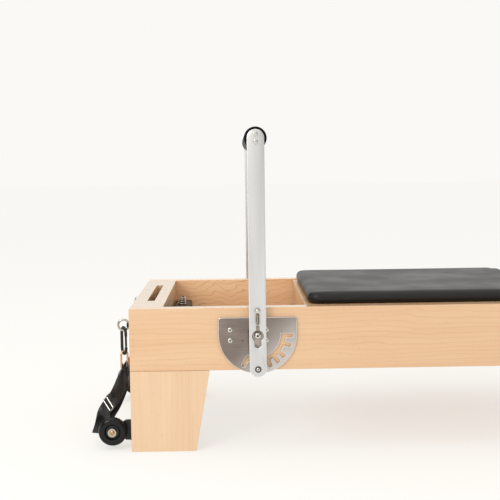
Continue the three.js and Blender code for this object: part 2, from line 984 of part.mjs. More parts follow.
addPair('side_rail', sideRail(), maple);
addPair('foot_leg', leg(false), maple);
addPair('head_leg', leg(true), maple);
add('foot_end_top_board', footTopBoard(), mapleTop);
add('foot_end_outer_panel', footPanel(0, true), maple);
add('foot_end_inner_panel', footPanel(endBoxDepth - endPanelThickness, false), maple);
add('head_end_panel', headPanel(), maple);
addPair('carriage_track', track(), brushedAluminium);
add('spring_bar', springBar(), darkSteel);
springPlaces().forEach((y, i) => add(`carriage_spring_${i + 1}`, spring(y), brightSteel));

addPair('lock_plate', lockPlate(), brushedSteel);
addPair('pivot_bolt', pivotBolt(), brightSteel);
addPair('pivot_bush', pivotBush(), brightSteel);
addPair('footbar_arm', footbarArm(), brushedAluminium);
addPair('lock_pin', lockPin(), brightSteel);
addPair('lift_spring', liftSpring(), brightSteel);
add('footbar_cross_tube', crossTube(), brightSteel);
add('footbar_grip', footbarGrip(), blackVinyl);

add('carriage_board', carriageBoard(), maple);
add('carriage_pad', carriagePad(), blackVinyl);
addPair('shoulder_pad', shoulderPad(), blackVinyl);
addPair('shoulder_post', shoulderPost(), darkSteel);
add('headrest', headrest(), blackVinyl);
axlePlaces().forEach((x, i) => {
  const end = i === 0 ? 'foot' : 'head';
  add(`near_${end}_carriage_wheel`, carriageWheel(x, -1), blackPlastic);
  add(`far_${end}_carriage_wheel`, carriageWheel(x, 1), blackPlastic);
});

addPair('wheel_bracket', wheelBracket(), blackPlastic);
addPair('transport_wheel', transportWheel(), blackPlastic);
addPair('eye_bolt', eyeBolt(), brightSteel);
addPair('snap_hook', snapHook(), blackPlastic);
addPair('hook_gate', hookGate(), brightSteel);
addPair('strap_ring', strapRing(), copper);
addPair('strap_loop', strapLoop(), webbing);
addPair('pulley_post', pulleyPost(), darkSteel);
addPair('pulley', pulley(), blackPlastic);

// The model's origin is the middle of its floor plan, on the floor.
const extent = new THREE.Box3().setFromObject(reformer);
reformer.position.x = -(extent.min.x + extent.max.x) / 2;

export default reformer;
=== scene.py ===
"""A pilates reformer: the maple frame, sprung carriage, footbar and foot end straps, dressed for the camera."""
import math

import bmesh
import bpy
from mathutils import Matrix, Vector


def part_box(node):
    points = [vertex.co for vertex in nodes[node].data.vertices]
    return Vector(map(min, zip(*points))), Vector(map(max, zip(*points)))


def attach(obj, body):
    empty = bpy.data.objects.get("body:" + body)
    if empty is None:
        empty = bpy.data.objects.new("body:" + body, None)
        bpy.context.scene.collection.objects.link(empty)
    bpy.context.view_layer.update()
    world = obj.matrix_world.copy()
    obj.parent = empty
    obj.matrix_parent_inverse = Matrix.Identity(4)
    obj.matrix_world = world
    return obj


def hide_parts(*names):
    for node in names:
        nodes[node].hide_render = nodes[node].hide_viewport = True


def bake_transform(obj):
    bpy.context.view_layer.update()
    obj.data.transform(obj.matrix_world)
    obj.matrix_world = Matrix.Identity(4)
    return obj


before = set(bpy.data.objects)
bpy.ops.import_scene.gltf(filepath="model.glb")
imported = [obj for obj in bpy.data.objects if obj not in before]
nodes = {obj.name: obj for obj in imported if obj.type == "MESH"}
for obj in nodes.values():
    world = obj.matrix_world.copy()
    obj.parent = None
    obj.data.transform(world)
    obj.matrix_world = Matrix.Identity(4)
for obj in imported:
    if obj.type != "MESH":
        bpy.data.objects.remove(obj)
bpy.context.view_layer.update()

MM = 0.001
TURN = 2 * math.pi
AXIS_X, AXIS_Y, AXIS_Z = Vector((1, 0, 0)), Vector((0, 1, 0)), Vector((0, 0, 1))
SIDES = (("near", -1), ("far", 1))

RAIL_THICKNESS = 38 * MM
rail_low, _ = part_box("near_side_rail")
foot_face = rail_low.x
half_width = -rail_low.y


# ---------------------------------------------------------------- places

def middle(node):
    low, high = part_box(node)
    return (low + high) / 2


def extent(node):
    low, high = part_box(node)
    return high - low


def flat_face(node, out):
    """The y of a node's face that looks outwards, with out -1 on the near side and 1 on the far side."""
    low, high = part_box(node)
    return high.y if out > 0 else low.y


# ---------------------------------------------------------------- camera, light and floor

def stand_camera():
    """A 73 mm lens at hip height, 2.6 m in front of the foot end, tipped a little down."""
    beside_foot_end = 285.4 * MM
    in_front = 2613.7 * MM
    height = 761.3 * MM
    yaw, pitch, roll = 0.0128, 0.088, -0.0131
    lens = bpy.data.cameras.new("camera")
    lens.lens = 72.78
    lens.sensor_width = 36
    camera = bpy.data.objects.new("camera", lens)
    bpy.context.scene.collection.objects.link(camera)
    turned_to = Matrix.Rotation(-yaw, 4, "Z") @ Matrix.Rotation(TURN / 4 - pitch, 4, "X")
    stands_at = Vector((foot_face + beside_foot_end, -half_width - in_front, height))
    camera.matrix_world = Matrix.Translation(stands_at) @ turned_to @ Matrix.Rotation(roll, 4, "Z")
    bpy.context.scene.camera = camera


def softbox(name, at, looks_at, width, power, tint):
    """A square lamp, with lengths in metres."""
    light = bpy.data.lights.new(name, "AREA")
    light.shape = "RECTANGLE"
    light.size = light.size_y = width
    light.energy = power
    light.color = tint
    lamp = bpy.data.objects.new(name, light)
    lamp.location = at
    lamp.rotation_euler = (Vector(looks_at) - Vector(at)).to_track_quat("-Z", "Y").to_euler()
    bpy.context.scene.collection.objects.link(lamp)


def white_room():
    """An all-white world, but for two black flags that only mirrored rays see: dark bands on bright metal."""
    world = bpy.data.worlds.new("white room")
    world.use_nodes = True
    sky = world.node_tree
    white, flag = (0.953, 0.945, 0.915, 1), (0.05, 0.05, 0.05, 1)
    direction = add_node(sky, "ShaderNodeTexCoord", {}, {}, "Generated")
    sideways = add_node(sky, "ShaderNodeSeparateXYZ", {}, {0: direction}, "X")
    upwards = add_node(sky, "ShaderNodeSeparateXYZ", {}, {0: direction}, "Z")
    aside = add_node(sky, "ShaderNodeMath", {"operation": "ABSOLUTE"}, {0: sideways})
    share = add_node(sky, "ShaderNodeLightPath", {}, {}, "Is Glossy Ray")
    flag_edges = (
        (aside, {1: 0.36, 2: 0.50}),
        (aside, {1: 0.78, 2: 0.92, 3: 1.0, 4: 0.0}),
        (upwards, {1: 0.45, 2: 0.75, 3: 1.0, 4: 0.0}),
    )
    for place, limits in flag_edges:
        fade = add_node(sky, "ShaderNodeMapRange", SMOOTH, {0: place, **limits})
        share = add_node(sky, "ShaderNodeMath", {"operation": "MULTIPLY"}, {0: share, 1: fade})
    seen = add_node(sky, "ShaderNodeMix", COLOURS, {0: share, 6: white, 7: flag}, 2)
    sky.links.new(seen, sky.nodes["Background"].inputs["Color"])
    bpy.context.scene.world = world


def paper_floor():
    """A floor that glows a little, so that it fades into the white of the room."""
    paper, _, _ = new_material("white paper floor", Roughness=0.9, Base_Color=(0.36, 0.355, 0.345, 1),
                               Specular_IOR_Level=0.0, Emission_Color=(1.0, 0.992, 0.965, 1),
                               Emission_Strength=0.60)
    bm = bmesh.new()
    bmesh.ops.create_grid(bm, x_segments=1, y_segments=1, size=30)
    mesh = bpy.data.meshes.new("floor")
    bm.to_mesh(mesh)
    bm.free()
    mesh.materials.append(paper)
    floor = bpy.data.objects.new("floor", mesh)
    bpy.context.scene.collection.objects.link(floor)


def light_studio():
    """A white room and floor, a weak broad lamp overhead and a stronger one in front."""
    bpy.context.scene.view_settings.view_transform = "Standard"
    white_room()
    softbox("overhead", (-1.6, -0.6, 3.4), (-0.5, 0.1, 0.2), 2.6, 16, (1.0, 0.985, 0.96))
    softbox("front left", (-3.4, -3.8, 2.4), (-0.5, 0, 0.3), 1.5, 60, (1.0, 0.98, 0.95))
    paper_floor()


# ---------------------------------------------------------------- material helpers

SMOOTH = {"interpolation_type": "SMOOTHSTEP"}
COLOURS = {"data_type": "RGBA"}


def colour(hex_value, alpha=1.0):
    """An sRGB hex value as linear light."""
    def linear(channel):
        c = channel / 255
        return c / 12.92 if c <= 0.04045 else ((c + 0.055) / 1.055) ** 2.4
    text = hex_value.lstrip("#")
    return (*(linear(int(text[i:i + 2], 16)) for i in (0, 2, 4)), alpha)


def add_node(tree, kind, settings, inputs, output=0):
    """Adds a node and returns one of its outputs. Each input, by number or name, is a value or a socket.

    A map range takes value, from min, from max, to min, to max as 0 to 4. A mix of colours takes share as 0
    and its colours as 6 and 7."""
    made = tree.nodes.new(kind)
    for name, value in settings.items():
        setattr(made, name, value)
    for name, value in inputs.items():
        if isinstance(value, bpy.types.NodeSocket):
            tree.links.new(value, made.inputs[name])
        else:
            made.inputs[name].default_value = value
    return made.outputs[output]


def new_material(name, **sockets):
    """A material whose shader has these values."""
    material = bpy.data.materials.new(name)
    material.use_nodes = True
    tree = material.node_tree
    shader = tree.nodes["Principled BSDF"]
    for socket, value in sockets.items():
        shader.inputs[socket.replace("_", " ")].default_value = value
    return material, tree, shader


def stretched(tree, along, lengthways, across):
    """Object coordinates whose unit is lengthways metres along the axis and across metres beside it."""
    scale = [1 / across] * 3
    scale["XYZ".index(along)] = 1 / lengthways
    place = add_node(tree, "ShaderNodeTexCoord", {}, {}, "Object")
    return add_node(tree, "ShaderNodeMapping", {}, {"Vector": place, "Scale": scale})


def streaks(tree, along, lengthways, across, detail, roughness=0.55, distortion=0.0):
    """Random light and dark, drawn out along an axis: lengthways metres long and across metres wide."""
    return add_node(tree, "ShaderNodeTexNoise", {}, {
        "Vector": stretched(tree, along, lengthways, across),
        "Scale": 1.0,
        "Detail": detail,
        "Roughness": roughness,
        "Distortion": distortion,
    })


def axis_position(tree, axis):
    """How far along an axis of the object a point lies."""
    place = add_node(tree, "ShaderNodeTexCoord", {}, {}, "Object")
    return add_node(tree, "ShaderNodeSeparateXYZ", {}, {0: place}, axis)


def layered(tree, base, layers):
    """Lays colours over a base colour.

    A layer is a pattern with the span of it that counts and the share at both ends, a weight, and a colour."""
    for limits, weight, tint in layers:
        share = add_node(tree, "ShaderNodeMapRange", SMOOTH, dict(enumerate(limits)))
        share = add_node(tree, "ShaderNodeMath", {"operation": "MULTIPLY"}, {0: share, 1: weight})
        base = add_node(tree, "ShaderNodeMix", COLOURS, {0: share, 6: base, 7: tint}, 2)
    return base


def finish(tree, shader, tone=None, rough=None, relief=None):
    """Lets patterns drive a shader.

    tone is a colour socket, or a pattern and the two colours it runs between. rough is a pattern, the span of it
    that counts, and the roughness at both ends. relief is a pattern, its strength and its depth."""
    if isinstance(tone, tuple):
        tone = add_node(tree, "ShaderNodeMix", COLOURS, dict(zip((0, 6, 7), tone)), 2)
    if tone:
        tree.links.new(tone, shader.inputs["Base Color"])
    if rough:
        uneven = add_node(tree, "ShaderNodeMapRange", SMOOTH, dict(enumerate(rough)))
        tree.links.new(uneven, shader.inputs["Roughness"])
    if relief:
        bump = add_node(tree, "ShaderNodeBump", {}, dict(zip(("Height", "Strength", "Distance"), relief)))
        tree.links.new(bump, shader.inputs["Normal"])


# ---------------------------------------------------------------- materials

def maple(name, along, across, pale, warm, line_gap, wander, figure, joints=(), arch=480 * MM, lacquer=1.0):
    """Hard maple under clear satin lacquer: close pale grain, growth lines, short dark flecks, and a pale glance.

    Growth lines lie line_gap apart across the board, and one slow noise bends them by up to wander lines,
    which closes them into arches about arch long where it is strong.
    Fibres are drawn 1.2 mm wide, coarser than real ones, so that they show."""
    material, tree, shader = new_material(name, Roughness=0.40, IOR=1.5, Coat_Weight=lacquer, Coat_Roughness=0.14)
    slow = streaks(tree, along, arch, 90 * MM, 2.0, 0.5, 0.4)
    broad = streaks(tree, along, 700 * MM, 60 * MM, 2.0)
    fibre = streaks(tree, along, 60 * MM, 1.2 * MM, 2.0)
    short_flecks = streaks(tree, along, 10 * MM, 2.2 * MM, 1.0)
    clouds = streaks(tree, along, 220 * MM, 110 * MM, 2.0)
    patches = streaks(tree, along, 300 * MM, 50 * MM, 1.0)

    ramp = add_node(tree, "ShaderNodeMath", {"operation": "DIVIDE"}, {0: axis_position(tree, across), 1: line_gap})
    bend = add_node(tree, "ShaderNodeMath", {"operation": "MULTIPLY"}, {0: slow, 1: wander})
    bent = add_node(tree, "ShaderNodeMath", {"operation": "ADD"}, {0: ramp, 1: bend})
    waves = add_node(tree, "ShaderNodeMath", {"operation": "PINGPONG"}, {0: bent, 1: 0.5})
    strength = add_node(tree, "ShaderNodeMapRange", {}, {0: patches, 1: 0.35, 2: 0.65, 3: figure * 0.4, 4: figure})

    deep = colour(warm)
    line = (deep[0] * 0.76, deep[1] * 0.62, deep[2] * 0.52, 1)
    speck = (deep[0] * 0.55, deep[1] * 0.45, deep[2] * 0.38, 1)
    layers = [
        ((broad, 0.3, 0.7), 1.0, deep),
        ((clouds, 0.4, 0.7, 0.0, 0.3), 1.0, deep),
        ((waves, 0.36, 0.5), strength, line),
        ((fibre, 0.45, 0.75, 0.0, 0.12), 1.0, line),
        ((short_flecks, 0.70, 0.78), 0.35, speck),
    ]
    for axis, at, shade in joints:
        position = axis_position(tree, axis)
        beyond = add_node(tree, "ShaderNodeMath", {"operation": "GREATER_THAN"}, {0: position, 1: at})
        glue = add_node(tree, "ShaderNodeMath", {"operation": "COMPARE"}, {0: position, 1: at, 2: 0.6 * MM})
        layers += [((beyond,), shade, line), ((glue,), 0.4, line)]
    finish(tree, shader, layered(tree, colour(pale), layers), relief=(fibre, 0.12, 0.15 * MM))
    return material


def satin_aluminium(name, light, dark):
    """Clear-anodised aluminium, brushed along its length before anodising: an even, nearly white grey."""
    material, tree, shader = new_material(name, Metallic=1.0)
    brushing = streaks(tree, "Z", 80 * MM, 0.9 * MM, 2.0)
    shades = streaks(tree, "Z", 300 * MM, 60 * MM, 1.0)
    tone = layered(tree, colour(light), [
        ((shades, 0.3, 0.7), 1.0, colour(dark)),
        ((brushing, 0.35, 0.7, 0.0, 0.12), 1.0, colour("#a9a8a6")),
    ])
    finish(tree, shader, tone, (brushing, 0.3, 0.7, 0.34, 0.46), (brushing, 0.05, 0.05 * MM))
    return material


def mill_aluminium():
    """Extruded aluminium as it leaves the mill: die lines along its length."""
    material, tree, shader = new_material("mill finish aluminium", Metallic=1.0)
    lines = streaks(tree, "X", 400 * MM, 1.5 * MM, 2.0)
    finish(tree, shader, (lines, colour("#c9c9c8"), colour("#a7a7a6")), (lines, 0.3, 0.7, 0.36, 0.5))
    return material


def brushed_steel(name, light, dark, wide=1.1, bright=None):
    """Stainless plate, brushed lengthways, with cloudy handling marks: a brownish grey with fine bright lines.

    With bright, a painted reflection grows towards the lower head end corner from the point bright, (x, z): a pale
    colour that stands in for the bright room mirrored in the plate there."""
    material, tree, shader = new_material(name, Metallic=1.0)
    brushing = streaks(tree, "X", 70 * MM, wide * MM, 3.0)
    clouds = streaks(tree, "X", 90 * MM, 70 * MM, 3.0)
    layers = [
        ((clouds, 0.3, 0.7), 1.0, colour(light)),
        ((brushing, 0.5, 0.8, 0.0, 0.28), 1.0, colour("#c4bbb6")),
    ]
    # painted reflection: a pale colour laid over the plate, stronger towards its lower head end corner
    if bright:
        towards_head, downwards = 0.66, -0.75
        start = towards_head * bright[0] + downwards * bright[1]
        lower = add_node(tree, "ShaderNodeMath", {"operation": "MULTIPLY"},
                         {0: axis_position(tree, "Z"), 1: downwards})
        painted_reflection_ramp = add_node(tree, "ShaderNodeMath", {"operation": "MULTIPLY_ADD"},
                            {0: axis_position(tree, "X"), 1: towards_head, 2: lower})
        layers.append(((painted_reflection_ramp, start - 10 * MM, start + 112 * MM, 0.0, 0.75), 1.0, colour("#e3dfdc")))
    tone = layered(tree, colour(dark), layers)
    finish(tree, shader, tone, (brushing, 0.3, 0.7, 0.26, 0.42), (brushing, 0.05, 0.05 * MM))
    return material


def plated_steel(name, shade, rough):
    """Electroplated steel: bright, with a trace of uneven polish."""
    material, tree, shader = new_material(name, Metallic=1.0, Base_Color=colour(shade))
    polish = streaks(tree, "Z", 6 * MM, 6 * MM, 2.0)
    finish(tree, shader, rough=(polish, 0.3, 0.7, rough * 0.8, rough * 1.3))
    return material


def powder_coat(name, shade, rough):
    """Baked powder paint: dark, with the fine pebble that it dries to, drawn 1.5 mm across."""
    material, tree, shader = new_material(name, IOR=1.5)
    pebble = streaks(tree, "Z", 1.5 * MM, 1.5 * MM, 2.0)
    patches = streaks(tree, "Z", 60 * MM, 60 * MM, 2.0)
    lighter = tuple(min(1, c * 1.7) for c in colour(shade)[:3]) + (1,)
    finish(tree, shader, (patches, colour(shade), lighter), (patches, 0.3, 0.7, rough, rough + 0.1),
           (pebble, 0.25, 0.12 * MM))
    return material


def vinyl():
    """Black expanded vinyl on foam: a low satin sheen and an embossed hide grain of 2.5 mm cells."""
    material, tree, shader = new_material("black satin vinyl", IOR=1.5, Specular_IOR_Level=0.36)
    cells = add_node(tree, "ShaderNodeTexVoronoi", {"feature": "DISTANCE_TO_EDGE"},
                     {"Vector": stretched(tree, "Z", 2.5 * MM, 2.5 * MM), "Scale": 1.0}, "Distance")
    creases = add_node(tree, "ShaderNodeMapRange", SMOOTH, {0: cells, 2: 0.18})
    worn = streaks(tree, "Z", 130 * MM, 130 * MM, 3.0)
    finish(tree, shader, (worn, colour("#141312"), colour("#1e1c1b")), (worn, 0.3, 0.7, 0.36, 0.46),
           (creases, 0.25, 0.15 * MM))
    return material


def grip_foam():
    """Dense skinned foam, satin black, with a faint speckle of closed cells."""
    material, tree, shader = new_material("skinned grip foam", IOR=1.45, Specular_IOR_Level=0.12)
    cells = streaks(tree, "Y", 1.4 * MM, 1.4 * MM, 2.0)
    finish(tree, shader, (cells, colour("#090909"), colour("#121211")), (cells, 0.3, 0.7, 0.42, 0.55),
           (cells, 0.2, 0.1 * MM))
    return material


def moulded(name, shade, rough):
    """Injection moulded nylon: even black with a spark-eroded matt texture, drawn 1 mm across."""
    material, tree, shader = new_material(name, IOR=1.5)
    texture = streaks(tree, "Z", 1.0 * MM, 1.0 * MM, 2.0)
    lighter = tuple(c * 1.6 for c in colour(shade)[:3]) + (1,)
    finish(tree, shader, (texture, colour(shade), lighter), (texture, 0.3, 0.7, rough, rough + 0.12),
           (texture, 0.12, 0.08 * MM))
    return material


def urethane():
    """Cast polyurethane tyre: glossy black shoulders, scuffed where it rolls."""
    material, tree, shader = new_material("cast urethane", IOR=1.5, Specular_IOR_Level=0.3)
    scuffs = streaks(tree, "Y", 12 * MM, 3 * MM, 4.0)
    finish(tree, shader, (scuffs, colour("#08080a"), colour("#121214")), (scuffs, 0.4, 0.75, 0.06, 0.18))
    return material


def woven_webbing():
    """Black polyester webbing with a soft sheen: ribs across it, drawn 2.4 mm apart along the piece's own map."""
    material, tree, shader = new_material("polyester webbing", Roughness=0.36, IOR=1.5, Sheen_Weight=0.5,
                                          Sheen_Roughness=0.4)
    own = add_node(tree, "ShaderNodeUVMap", {"uv_map": "weave"}, {})
    waves = []
    for axis, spacing in (("Y", 2.4 * MM), ("X", 3.0 * MM)):
        position = add_node(tree, "ShaderNodeSeparateXYZ", {}, {0: own}, axis)
        count = add_node(tree, "ShaderNodeMath", {"operation": "DIVIDE"}, {0: position, 1: spacing})
        waves.append(add_node(tree, "ShaderNodeMath", {"operation": "PINGPONG"}, {0: count, 1: 0.5}))
    weave = add_node(tree, "ShaderNodeMath", {"operation": "MULTIPLY"}, {0: waves[0], 1: waves[1]})
    tone = layered(tree, colour("#0a0909"), [((weave, 0.0, 0.25), 1.0, colour("#1a1817"))])
    finish(tree, shader, tone, relief=(weave, 0.2, 0.4 * MM))
    return material


foot_low, foot_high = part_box("near_foot_leg")
_, head_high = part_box("near_head_leg")
glue_line = 0.73 * (foot_high.x - foot_low.x)
near_pivot = middle("near_pivot_bolt")

MAPLE_NEAR = maple("maple, near side", "X", "Z", "#e1ba91", "#daae84", 13 * MM, 3.4, 0.30, arch=300 * MM)
# The far rail's maple has a stronger figure of its own, and its base is painted lighter than the near rail's:
# painted light that offsets the shade on the rail's inner face.
MAPLE_FAR_PAINTED_LIGHTER = maple("maple, far side, painted lighter", "X", "Z", "#f8cb9d", "#ebb587", 15 * MM, 7.0, 0.70, arch=110 * MM)
MAPLE_LEG = maple("maple, legs", "Z", "X", "#e6c5a1", "#e0bc95", 14 * MM, 1.6, 0.16, [
    ("X", foot_low.x + glue_line, 0.12),
    ("X", head_high.x - glue_line, 0.12),
])
MAPLE_TOP = maple("maple, end board", "X", "Y", "#dcbf9c", "#d3b189", 24 * MM, 1.5, 0.24, [("Y", 120 * MM, 0.06)])
MAPLE_END = maple("maple, end panels", "Z", "Y", "#f0caa0", "#e6bb8f", 16 * MM, 1.5, 0.25, [
    ("Y", 190 * MM, 0.12),
    ("Y", 110 * MM, 0.10),
    ("Y", -60 * MM, 0.08),
])
MAPLE_BOARD = maple("maple, carriage", "X", "Y", "#e4b98d", "#d5a573", 18 * MM, 3.0, 0.30, lacquer=0.2)
ALUMINIUM = satin_aluminium("satin anodised aluminium", "#dededf", "#d6d6d6")
# Bright cut edge, coloured paler than the arm's face: partly a real cut edge, partly a painted highlight.
ARM_RIM_AND_HIGHLIGHT = satin_aluminium("bright cut aluminium edge, painted highlight", "#f7f6f4", "#efeeec")
TRACK = mill_aluminium()
# The notched plate's colour carries a painted reflection, pale towards the lower head end corner below the pivot.
PLATE_WITH_PAINTED_REFLECTION = brushed_steel("brushed stainless plate, painted reflection", "#92867f", "#7f746e", bright=(near_pivot.x, near_pivot.z))
# The slide is painted lighter than the notched plate, to offset the shade in the keyhole where it shows.
SLIDE_PAINTED_LIGHTER = brushed_steel("brushed slide, painted lighter", "#b9aea6", "#a89c95")
# Polished rim, coloured far paler than the plate's face: partly a real polished edge, partly a painted highlight.
PLATE_RIM_AND_HIGHLIGHT = brushed_steel("polished stainless rim, painted highlight", "#efebe8", "#d9d3cf", 0.9)
CHROME = plated_steel("bright nickel plate", "#bfb9b0", 0.10)
SCREW = plated_steel("stainless screws", "#d6d1ca", 0.18)
BRASS = plated_steel("yellow zinc plate", "#c6a36e", 0.3)
COPPER = plated_steel("copper plate", "#e2b896", 0.22)
SPRING_STEEL = plated_steel("nickel plated spring wire", "#a39a8a", 0.2)
BAR_PAINT = powder_coat("dark bronze powder coat", "#3a2c24", 0.45)
BLACK_PAINT = powder_coat("black powder coat", "#0b0b0c", 0.32)
VINYL = vinyl()
FOAM = grip_foam()
NYLON = moulded("black nylon", "#101011", 0.38)
BEARING = moulded("bearing shield", "#0e0e10", 0.26)
TYRE = urethane()
WEBBING = woven_webbing()


# ---------------------------------------------------------------- shape helpers

def new_piece(name, bm, material, body=None, stands_for=(), sharp=32):
    """A finished piece from a bmesh, smooth but for edges that turn more than sharp degrees."""
    bmesh.ops.remove_doubles(bm, verts=bm.verts, dist=2e-6)
    bmesh.ops.recalc_face_normals(bm, faces=bm.faces)
    mesh = bpy.data.meshes.new(name)
    bm.to_mesh(mesh)
    bm.free()
    for one in material if isinstance(material, (list, tuple)) else [material]:
        mesh.materials.append(one)
    mesh.shade_smooth()
    mesh.set_sharp_from_angle(angle=math.radians(sharp))
    made = bpy.data.objects.new(name, mesh)
    bpy.context.scene.collection.objects.link(made)
    if stands_for:
        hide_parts(*stands_for)
    if body:
        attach(made, body)
    return made


def arc(centre_x, centre_z, radius, start, end, steps):
    """Points of an arc in the XZ plane, with angles in degrees from +X towards +Z."""
    angles = [math.radians(start + (end - start) * i / steps) for i in range(steps + 1)]
    return [(centre_x + radius * math.cos(a), centre_z + radius * math.sin(a)) for a in angles]


def polar(centre, radius, angle):
    """The point of the XZ plane at an angle round the centre, in degrees from +X towards +Z."""
    a = math.radians(angle)
    return centre.x + radius * math.cos(a), centre.z + radius * math.sin(a)


def add_loop(bm, points, y):
    """Closes (x, z) points to a loop of edges at y."""
    corners = [bm.verts.new((x, y, z)) for x, z in points]
    return [bm.edges.new((corners[i - 1], corners[i])) for i in range(len(corners))]


def plate(outline, holes, inner_y, outer_y, edge, rim_material=None):
    """A flat plate in the XZ plane with rounded edges, as thick as from inner_y to outer_y."""
    bm = bmesh.new()
    step = 1 if outer_y > inner_y else -1
    edges = []
    for points in [outline, *holes]:
        edges += add_loop(bm, points, inner_y + step * edge)
    filled = bmesh.ops.triangle_fill(bm, use_beauty=True, use_dissolve=False, edges=edges)
    back = [f for f in filled["geom"] if isinstance(f, bmesh.types.BMFace)]
    grown = bmesh.ops.extrude_face_region(bm, geom=back, use_keep_orig=True)
    front = [f for f in grown["geom"] if isinstance(f, bmesh.types.BMFace)]
    thickness = abs(outer_y - inner_y) - 2 * edge
    lifted = [v for v in grown["geom"] if isinstance(v, bmesh.types.BMVert)]
    bmesh.ops.translate(bm, verts=lifted, vec=(0, step * thickness, 0))
    bmesh.ops.recalc_face_normals(bm, faces=bm.faces)
    for cap in (back, front):
        for width, height in ((0.3, 0.7), (0.7, 0.3)):
            ring = bmesh.ops.inset_region(bm, faces=cap, thickness=edge * width, depth=edge * height,
                                          use_even_offset=True, use_boundary=True)
            # A rim material, where given, is paler than the face: partly a real polished or cut edge, partly a
            # painted highlight.
            if rim_material is not None:
                for face in ring["faces"]:
                    face.material_index = rim_material
    return bm


def swing_to(axis):
    """The rotation that takes +Z to the axis."""
    return Vector(axis).to_track_quat("Z", "Y").to_matrix().to_4x4()


def turned(profile, centre, axis=AXIS_Z, steps=48, bm=None):
    """A lathe-turned shape: profile points are (radius, distance along the axis)."""
    made = bmesh.new()
    corners = [made.verts.new((radius, 0, along)) for radius, along in profile]
    edges = [made.edges.new(pair) for pair in zip(corners, corners[1:])]
    bmesh.ops.spin(made, geom=corners + edges, axis=AXIS_Z, cent=(0, 0, 0), dvec=(0, 0, 0),
                   angle=TURN, steps=steps, use_merge=True, use_duplicate=False)
    bmesh.ops.remove_doubles(made, verts=made.verts, dist=1e-6)
    bmesh.ops.transform(made, verts=made.verts, matrix=Matrix.Translation(centre) @ swing_to(axis))
    return made if bm is None else joined(bm, made)


def symmetric(upper, between=()):
    """A closed lathe profile, the same on both sides of its middle, from one side's points between rim and bore."""
    lower = [(radius, -along) for radius, along in reversed(upper)]
    return [*lower, *between, *upper, lower[0]]


def joined(bm, other):
    """Adds one bmesh to another."""
    mesh = bpy.data.meshes.new("joined")
    other.to_mesh(mesh)
    other.free()
    bm.from_mesh(mesh)
    bpy.data.meshes.remove(mesh)
    return bm


def socket_screw(bm, seat, axis, radius, height, washer=0.0):
    """A button head screw with a hexagon socket, seated with its flat back at seat; its shank isn't seen."""
    start = 0.0
    if washer:
        thick = 1.2 * MM
        turned([(0, 0), (washer, 0), (washer, thick * 0.7), (washer - 0.4 * MM, thick), (0, thick)],
               seat, axis, 32, bm)
        start = thick
    dome = [(radius * math.cos(a), start + height * (0.25 + 0.75 * math.sin(a)))
            for a in [math.radians(d) for d in (0, 12, 24, 36, 48, 60)]]
    head = turned([(0, start), (radius * 0.96, start), *dome], seat, axis, 24)
    rim = [e for e in head.edges if e.is_boundary]
    top = seat + axis * dome[-1][1]
    face = swing_to(axis)
    hexagon = bmesh.ops.create_circle(head, cap_ends=False, segments=6, radius=radius * 0.36,
                                      matrix=Matrix.Translation(top) @ face)["verts"]
    socket_edges = [e for e in head.edges if all(v in hexagon for v in e.verts)]
    bmesh.ops.bridge_loops(head, edges=rim + socket_edges)
    sunk = bmesh.ops.extrude_edge_only(head, edges=socket_edges)["geom"]
    bmesh.ops.translate(head, verts=[v for v in sunk if isinstance(v, bmesh.types.BMVert)],
                        vec=-axis * height * 0.45)
    bmesh.ops.holes_fill(head, edges=[e for e in sunk if isinstance(e, bmesh.types.BMEdge)], sides=0)
    return joined(bm, head)


def wire(start, heading, turning_axis, radius, moves, sides=12, close_ends=True):
    """A bent round wire. Each move is ("run", length) or ("bend", radius, degrees) about turning_axis."""
    bm = bmesh.new()
    heading, turning_axis = Vector(heading).normalized(), Vector(turning_axis).normalized()
    at = Vector(start)
    section = bmesh.ops.create_circle(bm, cap_ends=False, segments=sides, radius=radius,
                                      matrix=Matrix.Translation(at) @ swing_to(heading))["verts"]
    edges = [e for e in bm.edges if all(v in section for v in e.verts)]
    first = list(edges)
    for move in moves:
        if move[0] == "run":
            grown = bmesh.ops.extrude_edge_only(bm, edges=edges)["geom"]
            tip = [v for v in grown if isinstance(v, bmesh.types.BMVert)]
            bmesh.ops.translate(bm, verts=tip, vec=heading * move[1])
            edges = [e for e in grown if isinstance(e, bmesh.types.BMEdge)]
            at = at + heading * move[1]
            continue
        _, bend, angle = move
        inwards = turning_axis.cross(heading) * (1 if angle > 0 else -1)
        centre = at + inwards * bend
        steps = max(4, round(abs(angle) / 12))
        verts = list({v for e in edges for v in e.verts})
        grown = bmesh.ops.spin(bm, geom=verts + edges, axis=turning_axis, cent=centre, dvec=(0, 0, 0),
                               angle=math.radians(angle), steps=steps, use_duplicate=False)["geom_last"]
        edges = [e for e in grown if isinstance(e, bmesh.types.BMEdge)]
        turn = Matrix.Rotation(math.radians(angle), 3, turning_axis)
        heading = turn @ heading
        at = centre + turn @ (at - centre)
    if close_ends:
        bmesh.ops.holes_fill(bm, edges=first + edges, sides=0)
    return bm


